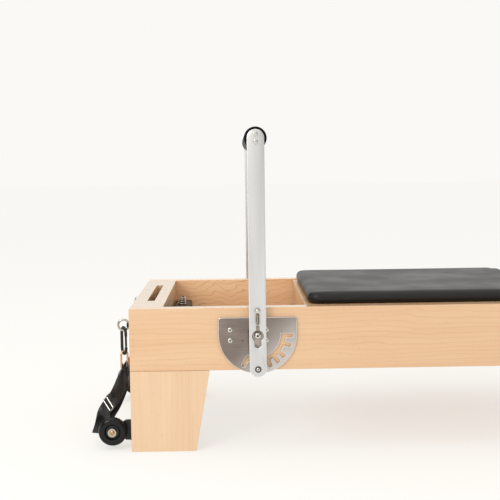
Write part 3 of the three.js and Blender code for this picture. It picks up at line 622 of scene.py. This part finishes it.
def coil(start, axis, coil_radius, wire_radius, length, turns, end_radius=None, sides=8, steps=16, phase=0.0):
    """A helical spring from start along the axis. With end_radius it tapers to that radius at its far end."""
    bm = bmesh.new()
    around = Matrix.Rotation(phase, 4, "Z")
    section = bmesh.ops.create_circle(
        bm, cap_ends=False, segments=sides, radius=wire_radius,
        matrix=around @ Matrix.Translation((coil_radius, 0, 0)) @ swing_to(AXIS_Y))["verts"]
    edges = list(bm.edges)
    total = round(turns * steps)
    grown = bmesh.ops.spin(bm, geom=section + edges, axis=AXIS_Z, cent=(0, 0, 0),
                           dvec=(0, 0, length / total), angle=TURN * turns, steps=total,
                           use_duplicate=False)["geom_last"]
    last = [e for e in grown if isinstance(e, bmesh.types.BMEdge)]
    bmesh.ops.holes_fill(bm, edges=edges + last, sides=0)
    if end_radius is not None:
        for vert in bm.verts:
            out = Vector((vert.co.x, vert.co.y, 0))
            share = min(1, max(0, vert.co.z / length))
            reach = coil_radius + (end_radius - coil_radius) * share
            vert.co += out.normalized() * (reach - coil_radius)
    bmesh.ops.transform(bm, verts=bm.verts, matrix=Matrix.Translation(start) @ swing_to(axis))
    return bm


def link_moves(straight, bend, opening=0.0):
    """The moves of an oval link whose ends face each other in the middle of one side, an opening apart."""
    end_run = ("run", (straight - opening) / 2)
    return [end_run, ("bend", bend, 180), ("run", straight), ("bend", bend, 180), end_run]


def soften(node, material, width, segments=3):
    """Gives a CAD node its material and rounds its sharp edges."""
    thing = nodes[node]
    thing.data.materials.clear()
    thing.data.materials.append(material)
    weld = thing.modifiers.new("weld", "WELD")
    weld.merge_threshold = 2e-5
    rounding = thing.modifiers.new("round edges", "BEVEL")
    rounding.width = width
    rounding.segments = segments
    rounding.limit_method = "ANGLE"
    rounding.angle_limit = math.radians(35)
    rounding.harden_normals = True


# ---------------------------------------------------------------- frame

def dress_frame():
    for side, _ in SIDES:
        soften(f"{side}_side_rail", MAPLE_NEAR if side == "near" else MAPLE_FAR_PAINTED_LIGHTER, 1.6 * MM)
        soften(f"{side}_foot_leg", MAPLE_LEG, 1.6 * MM)
        soften(f"{side}_head_leg", MAPLE_LEG, 1.6 * MM)
        soften(f"{side}_carriage_track", TRACK, 0.5 * MM, 2)
        soften(f"{side}_wheel_bracket", BLACK_PAINT, 0.8 * MM, 2)
        soften(f"{side}_pulley_post", BLACK_PAINT, 1.5 * MM)
        soften(f"{side}_shoulder_post", BLACK_PAINT, 1.5 * MM)
    soften("foot_end_top_board", MAPLE_TOP, 1.8 * MM)
    for node in ("foot_end_outer_panel", "foot_end_inner_panel", "head_end_panel"):
        soften(node, MAPLE_END, 1.0 * MM)
    soften("spring_bar", BAR_PAINT, 1.5 * MM)
    soften("carriage_board", MAPLE_BOARD, 1.5 * MM)


def fasten_frame():
    """Screws that hold the tracks and the pulley posts."""
    track_screws, end_distance, above_track, track_gap = 8, 60 * MM, 16 * MM, 4.3 * MM
    for side, out in SIDES:
        track_low, track_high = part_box(f"{side}_carriage_track")
        track_face = out * (half_width - RAIL_THICKNESS - track_gap)
        spread = track_high.x - track_low.x - 2 * end_distance
        bm = bmesh.new()
        for i in range(track_screws):
            x = track_low.x + end_distance + spread * i / (track_screws - 1)
            socket_screw(bm, Vector((x, track_face, track_low.z + above_track)), -out * AXIS_Y, 5 * MM, 2.6 * MM)
        new_piece(f"{side}_track_screws", bm, SCREW, "frame")

        _, post_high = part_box(f"{side}_pulley_post")
        bm = bmesh.new()
        for height in (250 * MM, 345 * MM):
            seat = Vector((post_high.x, out * (half_width - 100 * MM), height))
            socket_screw(bm, seat, AXIS_X, 7 * MM, 3.5 * MM, washer=10 * MM)
        new_piece(f"{side}_post_bolts", bm, SCREW, "frame")


# ---------------------------------------------------------------- footbar

BOLT_HOLE = 6.35 * MM
PLATE_EDGE = 1.6 * MM


def hole(place, radius, sides):
    """A round hole's outline."""
    return arc(place.x, place.z, radius, 0, 360 - 360 / sides, sides - 1)


def arm_outline(pivot, low, high, half):
    """A round-ended bar that stands upright over the pivot."""
    return arc(pivot.x, high - half, half, 0, 180, 40) + arc(pivot.x, low + half, half, 180, 360, 40)


def keyhole_outline(pivot):
    """A hook slot above, a round hole about the pivot, and a narrower tail that the bush slides down."""
    round_part, slot, tail, reach = 15 * MM, 4.5 * MM, 9 * MM, 23 * MM
    slot_angle = math.degrees(math.asin(slot / round_part))
    tail_angle = math.degrees(math.asin(tail / round_part))
    return (arc(pivot.x, pivot.z, round_part, -90 + tail_angle, 90 - slot_angle, 24)
            + arc(pivot.x, pivot.z + reach, slot, 0, 180, 12)
            + arc(pivot.x, pivot.z, round_part, 90 + slot_angle, 270 - tail_angle, 24)
            + arc(pivot.x, pivot.z - reach, tail, 180, 360, 16))


def notched_slot(pivot):
    """The curved slot and its seven notches, as one outline about the pivot."""
    inner, outer, notch_end, half = 60.4 * MM, 73.4 * MM, 93 * MM, 5 * MM
    notches = (2.3, 19, 40, 53, 68.5, 90, 115)
    edge = math.degrees(math.asin(half / outer))
    points = arc(pivot.x, pivot.z, inner, -notches[-1] - edge * 0.2, -notches[0] + edge, 44)
    for angle in notches:
        points.append(polar(pivot, outer, -angle + edge))
        points += arc(*polar(pivot, notch_end - half, -angle), half, -angle + 90, -angle - 90, 12)
        points.append(polar(pivot, outer, -angle - edge))
    return points


def add_lock_plates():
    """The notched plates with their screws, and in each a punched dimple, drawn as a black disc of painted shade."""
    corner = 8 * MM
    for side, out in SIDES:
        node = f"{side}_lock_plate"
        low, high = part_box(node)
        pivot = middle(f"{side}_pivot_bolt")
        face = flat_face(node, out)
        top = high.z - corner
        outline = (arc(high.x - corner, top, corner, 0, 90, 8) + arc(low.x + corner, top, corner, 90, 180, 8)
                   + arc(pivot.x, pivot.z, (high.x - low.x) / 2, 180, 360, 72))
        holes = [notched_slot(pivot), hole(pivot, BOLT_HOLE, 30)]
        bm = plate(outline, holes, flat_face(node, -out), face, PLATE_EDGE, 1)
        new_piece(f"{side}_notched_plate", bm, [PLATE_WITH_PAINTED_REFLECTION, PLATE_RIM_AND_HIGHLIGHT], "frame", [node])
        bm = bmesh.new()
        for x in (-72 * MM, 23 * MM):
            for z in (13.5 * MM, -14.5 * MM):
                socket_screw(bm, Vector((pivot.x + x, face, pivot.z + z)), out * AXIS_Y, 6.6 * MM, 3.2 * MM)
        new_piece(f"{side}_plate_screws", bm, SCREW, "frame")
        dimple = Vector((pivot.x - 40 * MM, face, pivot.z - 15 * MM))
        # painted shade: the dimple's hollow is drawn as a black disc
        bm = turned([(0, -0.2 * MM), (1.6 * MM, 0.25 * MM), (2.0 * MM, 0.05 * MM)], dimple, out * AXIS_Y, 20)
        new_piece(f"{side}_plate_dimple_painted_shade", bm, BEARING, "frame")


def add_arms():
    """The arms, the screws that hold the grip's tube, and the screw that each lift spring hangs on."""
    tube_screw_rise, hanger_rise, hanger_length, hanger_proud = 10 * MM, 65 * MM, 4.6 * MM, 4.4 * MM
    grip_centre = middle("footbar_grip")
    for side, out in SIDES:
        node = f"{side}_footbar_arm"
        low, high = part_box(node)
        pivot = middle(f"{side}_pivot_bolt")
        face = flat_face(node, out)
        outline = arm_outline(pivot, low.z, high.z, (high.x - low.x) / 2)
        holes = [keyhole_outline(pivot), hole(middle(f"{side}_lock_pin"), 5.35 * MM, 24)]
        bm = plate(outline, holes, flat_face(node, -out), face, PLATE_EDGE, 1)
        new_piece(f"{side}_arm", bm, [ALUMINIUM, ARM_RIM_AND_HIGHLIGHT], "footbar", [node])

        bm = bmesh.new()
        for rise in (tube_screw_rise, -tube_screw_rise):
            socket_screw(bm, Vector((pivot.x, face, grip_centre.z + rise)), out * AXIS_Y, 6.6 * MM, 3.4 * MM)
        hanger = Vector((pivot.x, face, pivot.z + hanger_rise))
        socket_screw(bm, hanger + out * AXIS_Y * hanger_proud, out * AXIS_Y, 6.0 * MM, 3.0 * MM)
        turned([(0, 0), (2.6 * MM, 0), (2.6 * MM, hanger_length), (0, hanger_length)], hanger, out * AXIS_Y, 16, bm)
        new_piece(f"{side}_arm_screws", bm, SCREW, "footbar")


def add_pivot_bolt(side, out):
    """The bolt through the plate and the arm's keyhole."""
    node = f"{side}_pivot_bolt"
    bolt = middle(node)
    radius, head_radius, head = 6 * MM, 8.4 * MM, 6 * MM
    shank = extent(node).y - head
    seat = Vector((bolt.x, flat_face(node, out) - out * head, bolt.z))
    bm = turned([(0, -shank), (radius, -shank), (radius, 0), (0, 0)], seat, out * AXIS_Y, 24)
    socket_screw(bm, seat, out * AXIS_Y, head_radius, head)
    new_piece(f"{side}_pivot", bm, SCREW, "frame", [node])


def add_slide_and_bush(side, out):
    """The thin plate between the arm and the notched plate, and the bush that turns on the bolt. The thin plate is
    painted lighter than the notched plate, to offset the shade in the arm's keyhole where it shows.
    """
    bolt = middle(f"{side}_pivot_bolt")
    clear, half_length, end_radius = 0.4 * MM, 36 * MM, 20 * MM
    outline = arm_outline(bolt, bolt.z - half_length, bolt.z + half_length, end_radius)
    bm = plate(outline, [hole(bolt, BOLT_HOLE, 30)], flat_face(f"{side}_lock_plate", out) + out * clear,
               flat_face(f"{side}_footbar_arm", -out) - out * clear, clear)
    new_piece(f"{side}_arm_slide", bm, SLIDE_PAINTED_LIGHTER, "footbar_pivot")

    node = f"{side}_pivot_bush"
    bush = middle(node)
    length = extent(node).y
    radius, chamfer = 8.7 * MM, 0.5 * MM
    seat = Vector((bush.x, bush.y - out * length / 2, bush.z))
    bm = turned([(BOLT_HOLE, 0), (radius, 0), (radius, length - chamfer), (radius - chamfer, length),
                 (BOLT_HOLE, length), (BOLT_HOLE, 0)], seat, out * AXIS_Y, 32)
    new_piece(f"{side}_bush", bm, PLATE_WITH_PAINTED_REFLECTION, "footbar_pivot", [node])


def add_lock_pin(side, out):
    """The pin that the notches hold, with a bright collar and a dark ring round its head."""
    node = f"{side}_lock_pin"
    pin = middle(node)
    outwards = out * AXIS_Y
    seat = Vector((pin.x, flat_face(f"{side}_footbar_arm", out), pin.z))
    above_arm = seat + outwards * 0.1 * MM
    shank = abs(seat.y - flat_face(node, -out))
    radius, chamfer, ring, collar = 5 * MM, 0.6 * MM, 8.3 * MM, 9.4 * MM
    bm = turned([(0, -shank), (radius - chamfer, -shank), (radius, -shank + chamfer), (radius, 0), (0, 0)],
                seat, outwards, 24)
    socket_screw(bm, seat + outwards * 1.4 * MM, outwards, 5.2 * MM, 3.4 * MM)
    turned([(ring, 0), (collar, 0), (collar, 1.0 * MM), (ring, 1.2 * MM)], above_arm, outwards, 32, bm)
    new_piece(f"{side}_lock_pin_head", bm, SCREW, "footbar", [node])
    bore = 4.0 * MM
    bm = turned([(bore, 0), (ring, 0), (ring - 0.2 * MM, 1.5 * MM), (bore, 1.7 * MM), (bore, 0)],
                above_arm, outwards, 32)
    new_piece(f"{side}_lock_pin_ring", bm, BEARING, "footbar")


def add_pivots():
    for side, out in SIDES:
        add_pivot_bolt(side, out)
        add_slide_and_bush(side, out)
        add_lock_pin(side, out)


def add_lift_springs():
    """The small coil that pulls each arm down, hooked on the bush below and on a screw above."""
    coil_wire, hook_wire, coil_radius, eye_radius = 0.85 * MM, 1.1 * MM, 3.3 * MM, 3.4 * MM
    for side, _ in SIDES:
        node = f"{side}_lift_spring"
        pivot = middle(f"{side}_pivot_bolt")
        place = middle(node)
        bottom, top, hook_end = pivot.z + 31 * MM, pivot.z + 57 * MM, pivot.z + 12.5 * MM
        stem_top = bottom - 2 * eye_radius
        bm = coil(Vector((place.x, place.y, bottom)), AXIS_Z, coil_radius, coil_wire, top - bottom, 16)
        joined(bm, wire(Vector((place.x, place.y + eye_radius, bottom - 3.8 * MM)), AXIS_Z, AXIS_X,
                        hook_wire, [("bend", eye_radius, 355)], 8))
        joined(bm, wire(Vector((place.x + eye_radius, place.y, top + 4.2 * MM)), AXIS_Z, AXIS_Y,
                        coil_wire, [("bend", eye_radius, -355)], 8))
        joined(bm, wire(Vector((place.x, place.y, stem_top)), -AXIS_Z, AXIS_X,
                        hook_wire, [("run", stem_top - hook_end)], 8))
        spring = new_piece(f"{side}_arm_spring", bm, SPRING_STEEL, None, [node])
        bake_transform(spring)


def add_grip():
    """The foam roll, rounded at its ends, on its chromed tube."""
    soft, bore = 5 * MM, 16.3 * MM
    size = extent("footbar_grip")
    radius, reach = size.z / 2, size.y / 2
    profile = symmetric([*arc(radius - soft, reach - soft, soft, 0, 90, 6), (bore, reach)])
    bm = turned(profile, middle("footbar_grip"), AXIS_Y, 64)
    grip = new_piece("grip_roll", bm, FOAM, "footbar", ["footbar_grip"])
    soften("footbar_cross_tube", CHROME, 0.4 * MM, 2)


# ---------------------------------------------------------------- springs

def add_carriage_springs():
    """Close-wound extension springs, each with a tapered plug and stem at both ends."""
    wire_radius, coil_radius, end_length = 1.6 * MM, 11.2 * MM, 14 * MM
    stem, shoulder, plug, plug_depth = 3.3 * MM, 5 * MM, 9.4 * MM, 6 * MM
    _, bar_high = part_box("spring_bar")
    for number in (1, 2, 3, 4):
        node = f"carriage_spring_{number}"
        low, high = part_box(node)
        axis_y, axis_z = (low.y + high.y) / 2, (low.z + high.z) / 2
        coil_start, coil_end = bar_high.x + end_length, high.x - end_length
        bm = coil(Vector((coil_start, axis_y, axis_z)), AXIS_X, coil_radius, wire_radius, coil_end - coil_start, 84)
        for end, seat, way in ((low.x, coil_start, AXIS_X), (high.x, coil_end, -AXIS_X)):
            length = abs(seat - end)
            turned([(0, 0), (stem, 0), (stem, length - 12 * MM), (shoulder, length - 11 * MM),
                    (plug, length - 1 * MM), (plug, length + plug_depth), (0, length + plug_depth)],
                   Vector((end, axis_y, axis_z)), way, 24, bm)
        spring = new_piece(f"coil_spring_{number}", bm, SPRING_STEEL, None, [node])
        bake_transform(spring)


def add_loose_spring_end():
    """The tapered end of the outermost spring, parked on the bar, and the thin strip beside it."""
    bar_low, bar_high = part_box("spring_bar")
    y = 205 * MM
    foot = Vector((bar_low.x + 20 * MM, y, bar_high.z - 10 * MM))
    lean = Vector((0.20, -0.12, 0.96)).normalized()
    bm = coil(foot, lean, 16.5 * MM, 1.9 * MM, 34 * MM, 6, end_radius=6.5 * MM)
    new_piece("parked_spring_end", bm, CHROME, "frame")
    bm = turned([(0, 0), (12 * MM, 0), (4.5 * MM, 28 * MM), (2.4 * MM, 36 * MM), (0, 37 * MM)], foot, lean, 20)
    new_piece("parked_spring_plug", bm, BEARING, "frame")
    strip = rounded_block(Vector((bar_low.x + 1 * MM, y - 14 * MM, bar_high.z - 22 * MM)),
                          Vector((bar_low.x + 4 * MM, y - 4 * MM, bar_high.z + 8 * MM)), 0.8 * MM, "Z")
    new_piece("brass_hanger", strip, BRASS, "frame")


# ---------------------------------------------------------------- foot end

def link_frame(out, degrees):
    """Two directions of an upright link turned away from the foot end's face: across it, and square to it."""
    turn = math.radians(degrees)
    across = Vector((math.sin(turn), -out * math.cos(turn), 0))
    return across, across.cross(AXIS_Z)


def add_eye_bolt(side):
    """An eye on a shank, with a washer and a black sleeve against the wood. Gives the middle of the eye."""
    node = f"{side}_eye_bolt"
    low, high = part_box(node)
    radius, eye_wire = 14.5 * MM, 3 * MM
    eye = Vector((low.x + radius + eye_wire, (low.y + high.y) / 2, (low.z + high.z) / 2))
    neck = eye + AXIS_X * radius
    shank = high.x - neck.x
    bm = wire(neck, -AXIS_Z, AXIS_Y, eye_wire, [("bend", radius, 352)], 16)
    turned([(0, -1.5 * MM), (3.4 * MM, -1.5 * MM), (4 * MM, 1 * MM), (4 * MM, shank), (0, shank)],
           neck, AXIS_X, 24, bm)
    washer_bore, washer, washer_thick = 4.2 * MM, 10 * MM, 1.6 * MM
    seat = Vector((foot_face - 0.2 * MM, eye.y, eye.z))
    turned([(washer_bore, 0), (washer, 0), (washer, 1.2 * MM), (washer - 0.6 * MM, washer_thick),
            (washer_bore, washer_thick)], seat, -AXIS_X, 32, bm)
    new_piece(f"{side}_eye", bm, CHROME, "frame", [node])
    sleeve, sleeve_end, chamfer = 7.2 * MM, 16 * MM, 1 * MM
    bm = turned([(0, washer_thick), (sleeve, washer_thick), (sleeve, sleeve_end - chamfer),
                 (sleeve - 0.8 * chamfer, sleeve_end), (0, sleeve_end)], seat, -AXIS_X, 32)
    new_piece(f"{side}_eye_sleeve", bm, BLACK_PAINT, "frame")
    return eye


def add_snap_hook(side, out, eye):
    """The oval hook that hangs in the eye, open in the middle of one side, and its gate."""
    node = f"{side}_snap_hook"
    across, square = link_frame(out, 154)
    bend, opening = 16 * MM, 31 * MM
    start = Vector((eye.x, eye.y, middle(node).z)) + across * bend + AXIS_Z * opening / 2
    bm = wire(start, AXIS_Z, square, 4 * MM, link_moves(40 * MM, bend, opening), 14)
    new_piece(f"{side}_carabiner", bm, BLACK_PAINT, node, [node])
    node = f"{side}_hook_gate"
    bm = turned([(0, -15 * MM), (2.2 * MM, -14.6 * MM), (3 * MM, -12 * MM), (3 * MM, 12 * MM),
                 (3.4 * MM, 12.6 * MM), (3.4 * MM, 14.4 * MM), (2.6 * MM, 15 * MM), (0, 15 * MM)],
                middle(node), AXIS_Z, 24)
    new_piece(f"{side}_carabiner_gate", bm, BLACK_PAINT, node, [node])


def add_copper_ring(side, out, eye):
    """The oval ring between hook and strap."""
    node = f"{side}_strap_ring"
    across, square = link_frame(out, 48)
    bend = 10.6 * MM
    start = Vector((eye.x, eye.y, middle(node).z)) + across * bend
    bm = wire(start, AXIS_Z, square, 2.9 * MM, link_moves(29 * MM, bend), 14, close_ends=False)
    new_piece(f"{side}_copper_ring", bm, COPPER, f"{side}_strap", [node])


def add_foot_end_hardware():
    for side, out in SIDES:
        eye = add_eye_bolt(side)
        add_snap_hook(side, out, eye)
        add_copper_ring(side, out, eye)


# Stations of the hanging loop, in millimetres from its ring: place, the way its width lies, and how far it curls.
# It goes down the near ply, folds over at the bottom and comes up the far ply.
STRAP_STATIONS = (
    ((0, -1, 5), (0.9, 0.3, 0.0), 250),
    ((-2, -6, -4), (0.9, 0.3, -0.1), 230),
    ((-8, -10, -20), (0.80, 0.50, -0.25), 110),
    ((-15, -11, -42), (0.76, 0.62, -0.22), 40),
    ((-25, -11, -68), (0.80, 0.42, -0.42), 12),
    ((-42, -9, -90), (0.56, -0.42, -0.74), 8),
    ((-55, -6, -110), (0.68, -0.46, -0.60), 8),
    ((-63, -4, -136), (0.86, 0.35, -0.36), 12),
    ((-69, -4, -158), (0.88, 0.42, -0.30), 14),
    ((-74, -2, -171), (0.88, 0.45, -0.28), 12),
    ((-75, 3, -176), (0.88, 0.45, -0.28), 12),
    ((-72, 8, -170), (0.88, 0.45, -0.28), 12),
    ((-61, 10, -150), (0.88, 0.40, -0.35), 12),
    ((-47, 12, -124), (0.90, 0.20, -0.35), 12),
    ((-32, 13, -98), (0.92, -0.10, -0.35), 16),
    ((-19, 13, -70), (0.92, -0.30, -0.30), 30),
    ((-9, 12, -42), (0.92, -0.10, -0.20), 90),
    ((-3, 9, -20), (0.90, 0.20, -0.10), 170),
    ((0, 6, -4), (0.9, 0.3, -0.05), 250),
    ((1, 2, 5), (0.9, 0.3, 0.0), 250),
)
STRAP_WIDTH = 38 * MM


def smooth_station(share):
    """Place, width direction and curl at a share of the way round the loop, by a closed Catmull-Rom curve."""
    count = len(STRAP_STATIONS)
    position = share * count
    first = int(position) % count
    t = position - int(position)
    weights = ((-t + 2 * t * t - t ** 3) / 2, (2 - 5 * t * t + 3 * t ** 3) / 2,
               (t + 4 * t * t - 3 * t ** 3) / 2, (t ** 3 - t * t) / 2)
    place, across, curl = Vector((0, 0, 0)), Vector((0, 0, 0)), 0.0
    for step, weight in zip((-1, 0, 1, 2), weights):
        at, wide, bent = STRAP_STATIONS[(first + step) % count]
        place += Vector(at) * weight * MM
        across += Vector(wide) * weight
        curl += math.radians(bent) * weight
    return place, across.normalized(), max(curl, 0.05)


def webbing_loop(hang, out):
    """A closed band of webbing below hang: a grid wrapped round the loop, curled across its width."""
    rows, columns = 160, 10
    bm = bmesh.new()
    bmesh.ops.create_grid(bm, x_segments=columns, y_segments=rows, size=0.5)
    weave = bm.loops.layers.uv.new("weave")
    length = 0.0
    rounds = []
    for i in range(rows + 1):
        place, across, curl = smooth_station(i / rows % 1.0)
        if i:
            length += (place - rounds[-1][0]).length
        rounds.append((place, across, curl, length))
    for face in bm.faces:
        for loop in face.loops:
            row = round((loop.vert.co.y + 0.5) * rows)
            loop[weave].uv = (loop.vert.co.x * STRAP_WIDTH, rounds[row][3])
    for vert in bm.verts:
        row = round((vert.co.y + 0.5) * rows)
        sideways = vert.co.x
        place, across, curl, _ = rounds[row]
        ahead = rounds[(row + 1) % rows][0] - rounds[(row - 1) % rows][0]
        outwards = across.cross(ahead.normalized()).normalized()
        radius = STRAP_WIDTH / curl
        angle = sideways * curl
        spot = place + across * radius * math.sin(angle) - outwards * radius * (1 - math.cos(angle))
        vert.co = hang + Vector((spot.x, -out * spot.y, spot.z))
    return bm, length


def slider_buckle(hang, out):
    """A rectangular wire slide across the near ply."""
    buckle_station, step = 5.1, 0.4
    place, across, _ = smooth_station(buckle_station / len(STRAP_STATIONS))
    above, below = (smooth_station((buckle_station + way * step) / len(STRAP_STATIONS))[0] for way in (-1, 1))
    ahead = (below - above).normalized()
    ahead = (ahead - across * ahead.dot(across)).normalized()
    outwards = across.cross(ahead)
    long_side, short_side, corner = 37 * MM, 13 * MM, 2.5 * MM
    start = Vector((corner - long_side / 2, -short_side / 2, 0))
    half_round = [("run", long_side - 2 * corner), ("bend", corner, 90),
                  ("run", short_side - 2 * corner), ("bend", corner, 90)]
    bm = wire(start, AXIS_X, AXIS_Z, 1.2 * MM, half_round * 2, 10, close_ends=False)
    spot = place - outwards * 3.4 * MM
    stand = Matrix((across, ahead, outwards)).transposed().to_4x4()
    flip = Matrix.Diagonal((1, -out, 1, 1))
    bmesh.ops.transform(bm, verts=bm.verts,
                        matrix=Matrix.Translation(hang) @ flip @ Matrix.Translation(spot) @ stand)
    return bm


def add_straps():
    """The webbing loops, which hang in their rings, each with its buckle."""
    for side, out in SIDES:
        ring_low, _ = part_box(f"{side}_strap_ring")
        ring = middle(f"{side}_strap_ring")
        hang = Vector((ring.x, ring.y, ring_low.z + 2 * MM))
        bm, length = webbing_loop(hang, out)
        strap = new_piece(f"{side}_webbing_loop", bm, WEBBING, f"{side}_strap",
                          [f"{side}_strap_loop"], sharp=80)
        thick = strap.modifiers.new("thickness", "SOLIDIFY")
        thick.thickness = 1.8 * MM
        thick.offset = 0
        buckle = new_piece(f"{side}_slider_buckle", slider_buckle(hang, out), CHROME, f"{side}_strap")


def add_transport_wheels():
    """Tyre and hub, which turn, and the bolt with its washer, which are fixed to the bracket."""
    core, shoulder = 19.5 * MM, 9 * MM
    for side, out in SIDES:
        node = f"{side}_transport_wheel"
        centre, size = middle(node), extent(node)
        radius, half = size.z / 2, size.y / 2
        tread = arc(radius - shoulder, half - shoulder, shoulder, 0, 90, 9)
        tyre = symmetric([*tread, (core + 1.5 * MM, half - 0.3 * MM), (core, half - 2.2 * MM)])
        new_piece(f"{side}_wheel_tyre", turned(tyre, centre, AXIS_Y, 72), TYRE, node, [node])
        hub = symmetric([(19.4 * MM, half - 2.6 * MM), (17 * MM, half - 4.6 * MM), (11.4 * MM, half - 4.2 * MM),
                         (11 * MM, half - 3 * MM), (6.4 * MM, half - 3 * MM)])
        new_piece(f"{side}_wheel_hub", turned(hub, centre, AXIS_Y, 48), BEARING, node)

        seat = Vector((centre.x, flat_face(f"{side}_wheel_bracket", out), centre.z))
        bm = bmesh.new()
        socket_screw(bm, seat + out * AXIS_Y * 0.6 * MM, out * AXIS_Y, 7 * MM, 4 * MM)
        new_piece(f"{side}_wheel_bolt", bm, BRASS, "frame")
        bm = turned([(0, -0.6 * MM), (11.5 * MM, -0.6 * MM), (11.5 * MM, 0.2 * MM), (10.9 * MM, 0.7 * MM),
                     (0, 0.8 * MM)], seat, out * AXIS_Y, 40)
        new_piece(f"{side}_wheel_washer", bm, CHROME, "frame")


# ---------------------------------------------------------------- carriage

def add_carriage_wheels():
    for end in ("foot", "head"):
        for side, _ in SIDES:
            node = f"{side}_{end}_carriage_wheel"
            size = extent(node)
            radius, half = size.z / 2, size.y / 2
            profile = symmetric([(radius, half - 2 * MM), (radius - 2 * MM, half), (16 * MM, half),
                                 (15 * MM, half - 1.6 * MM), (9.4 * MM, half - 1.2 * MM), (9 * MM, half),
                                 (5.35 * MM, half)])
            new_piece(f"{node}_turned", turned(profile, middle(node), AXIS_Y, 48), NYLON,
                      node, [node])


def rounded_block(low, high, corner, along, steps=6):
    """A block whose four edges along an axis are rounded."""
    bm = bmesh.new()
    bmesh.ops.create_cube(bm, size=1, matrix=Matrix.Translation((low + high) / 2)
                          @ Matrix.Diagonal((*(high - low), 1)))
    edges = [e for e in bm.edges if abs((e.verts[0].co - e.verts[1].co).normalized()["XYZ".index(along)]) > 0.9]
    bmesh.ops.bevel(bm, geom=edges, affect="EDGES", offset=corner, segments=steps, profile=0.5, material=-1)
    return bm


def stuffed(name, low, high, corner, along, flat_side, voxel, edge, cap):
    """An upholstered block: rounded, remeshed, swelled by cloth pressure, at most by cap, and smoothed.

    flat_side is the outward direction of the face that rests on something, which stays where it is."""
    bm = rounded_block(low, high, corner, along)
    bmesh.ops.recalc_face_normals(bm, faces=bm.faces)
    rims = [e for e in bm.edges if len(e.link_faces) == 2 and e.calc_face_angle(0) > math.radians(60)]
    bmesh.ops.bevel(bm, geom=rims, affect="EDGES", offset=edge, segments=4, profile=0.5, material=-1)
    mesh = bpy.data.meshes.new(name)
    bm.to_mesh(mesh)
    bm.free()
    pad = bpy.data.objects.new(name, mesh)
    bpy.context.scene.collection.objects.link(pad)
    remesh = pad.modifiers.new("remesh", "REMESH")
    remesh.mode = "VOXEL"
    remesh.voxel_size = voxel
    applied(pad)
    rest = [v.co.copy() for v in pad.data.vertices]
    flat_side = Vector(flat_side)
    lowest = max(co.dot(flat_side) for co in rest)
    held = pad.vertex_groups.new(name="held")
    held.add([i for i, co in enumerate(rest) if co.dot(flat_side) > lowest - voxel * 0.6], 1.0, "REPLACE")
    cloth = pad.modifiers.new("cloth", "CLOTH")
    cloth.settings.quality = 4
    cloth.settings.use_pressure = True
    cloth.settings.uniform_pressure_force = 4.0
    cloth.settings.vertex_group_mass = "held"
    cloth.settings.tension_stiffness = 20
    cloth.settings.compression_stiffness = 20
    cloth.settings.bending_stiffness = 6
    cloth.settings.effector_weights.gravity = 0
    cloth.collision_settings.use_collision = False
    for step in range(1, 16):
        bpy.context.scene.frame_set(step)
    applied(pad)
    bpy.context.scene.frame_set(1)
    for vert, before in zip(pad.data.vertices, rest):
        moved = vert.co - before
        if moved.length > cap:
            vert.co = before + moved * (cap / moved.length)
    pad.vertex_groups.clear()
    bm = bmesh.new()
    bm.from_mesh(pad.data)
    for _ in range(3):
        bmesh.ops.smooth_vert(bm, verts=bm.verts, factor=0.5, use_axis_x=True, use_axis_y=True, use_axis_z=True)
    bm.to_mesh(pad.data)
    bm.free()
    pad.data.shade_smooth()
    return pad


def applied(thing):
    """Replaces an object's mesh by what its modifiers make of it."""
    graph = bpy.context.evaluated_depsgraph_get()
    mesh = bpy.data.meshes.new_from_object(thing.evaluated_get(graph))
    thing.modifiers.clear()
    thing.data = mesh


# CAD node, piece, body, corner, edge that the corner runs along, side it rests on, voxel, edge rounding, swell.
# Lengths in millimetres.
CUSHIONS = (
    ("carriage_pad", "seat_pad", "carriage", 34, "Z", (0, 0, -1), 5, 13, 3.0),
    ("headrest", "head_cushion", "headrest", 30, "Z", (0, 0, -1), 4.5, 12, 4.0),
    ("near_shoulder_pad", "near_shoulder_cushion", "carriage", 20, "X", (1, 0, 0), 4, 12, 4.0),
    ("far_shoulder_pad", "far_shoulder_cushion", "carriage", 20, "X", (1, 0, 0), 4, 12, 4.0),
)


def upholster():
    """Vinyl over foam: each cushion starts inside its CAD box and swells out to it, but for the side it rests on."""
    for node, name, body, corner, along, flat_side, voxel, edge, swell in CUSHIONS:
        low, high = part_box(node)
        start, end = low.copy(), high.copy()
        for axis, way in enumerate(flat_side):
            start[axis] += 0.6 * swell * MM if way >= 0 else 0
            end[axis] -= 0.6 * swell * MM if way <= 0 else 0
        pad = stuffed(name, start, end, corner * MM, along, flat_side, voxel * MM, edge * MM, swell * MM)
        pad.data.materials.clear()
        pad.data.materials.append(VINYL)
        rounder = pad.modifiers.new("smooth", "SUBSURF")
        rounder.levels = rounder.render_levels = 1
        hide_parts(node)
        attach(pad, body)


def add_pulleys():
    for side, _ in SIDES:
        node = f"{side}_pulley"
        size = extent(node)
        radius, half = size.z / 2, size.y / 2
        angles = [math.radians(d) for d in range(-90, 91, 15)]
        groove = [(radius - 5 * MM * math.cos(a), (half - 2.5 * MM) * math.sin(a)) for a in angles]
        profile = symmetric([(radius, half), (21 * MM, half), (20 * MM, half - 1.5 * MM),
                             (10 * MM, half - 1.5 * MM), (9 * MM, half), (5.35 * MM, half)], between=groove)
        new_piece(f"{node}_wheel", turned(profile, middle(node), AXIS_Y, 56), NYLON, node, [node])


# ---------------------------------------------------------------- the whole object

dress_frame()
fasten_frame()
add_lock_plates()
add_arms()
add_pivots()
add_lift_springs()
add_grip()
add_carriage_springs()
add_loose_spring_end()
add_foot_end_hardware()
add_straps()
add_transport_wheels()
add_carriage_wheels()
add_pulleys()
upholster()
light_studio()
stand_camera()
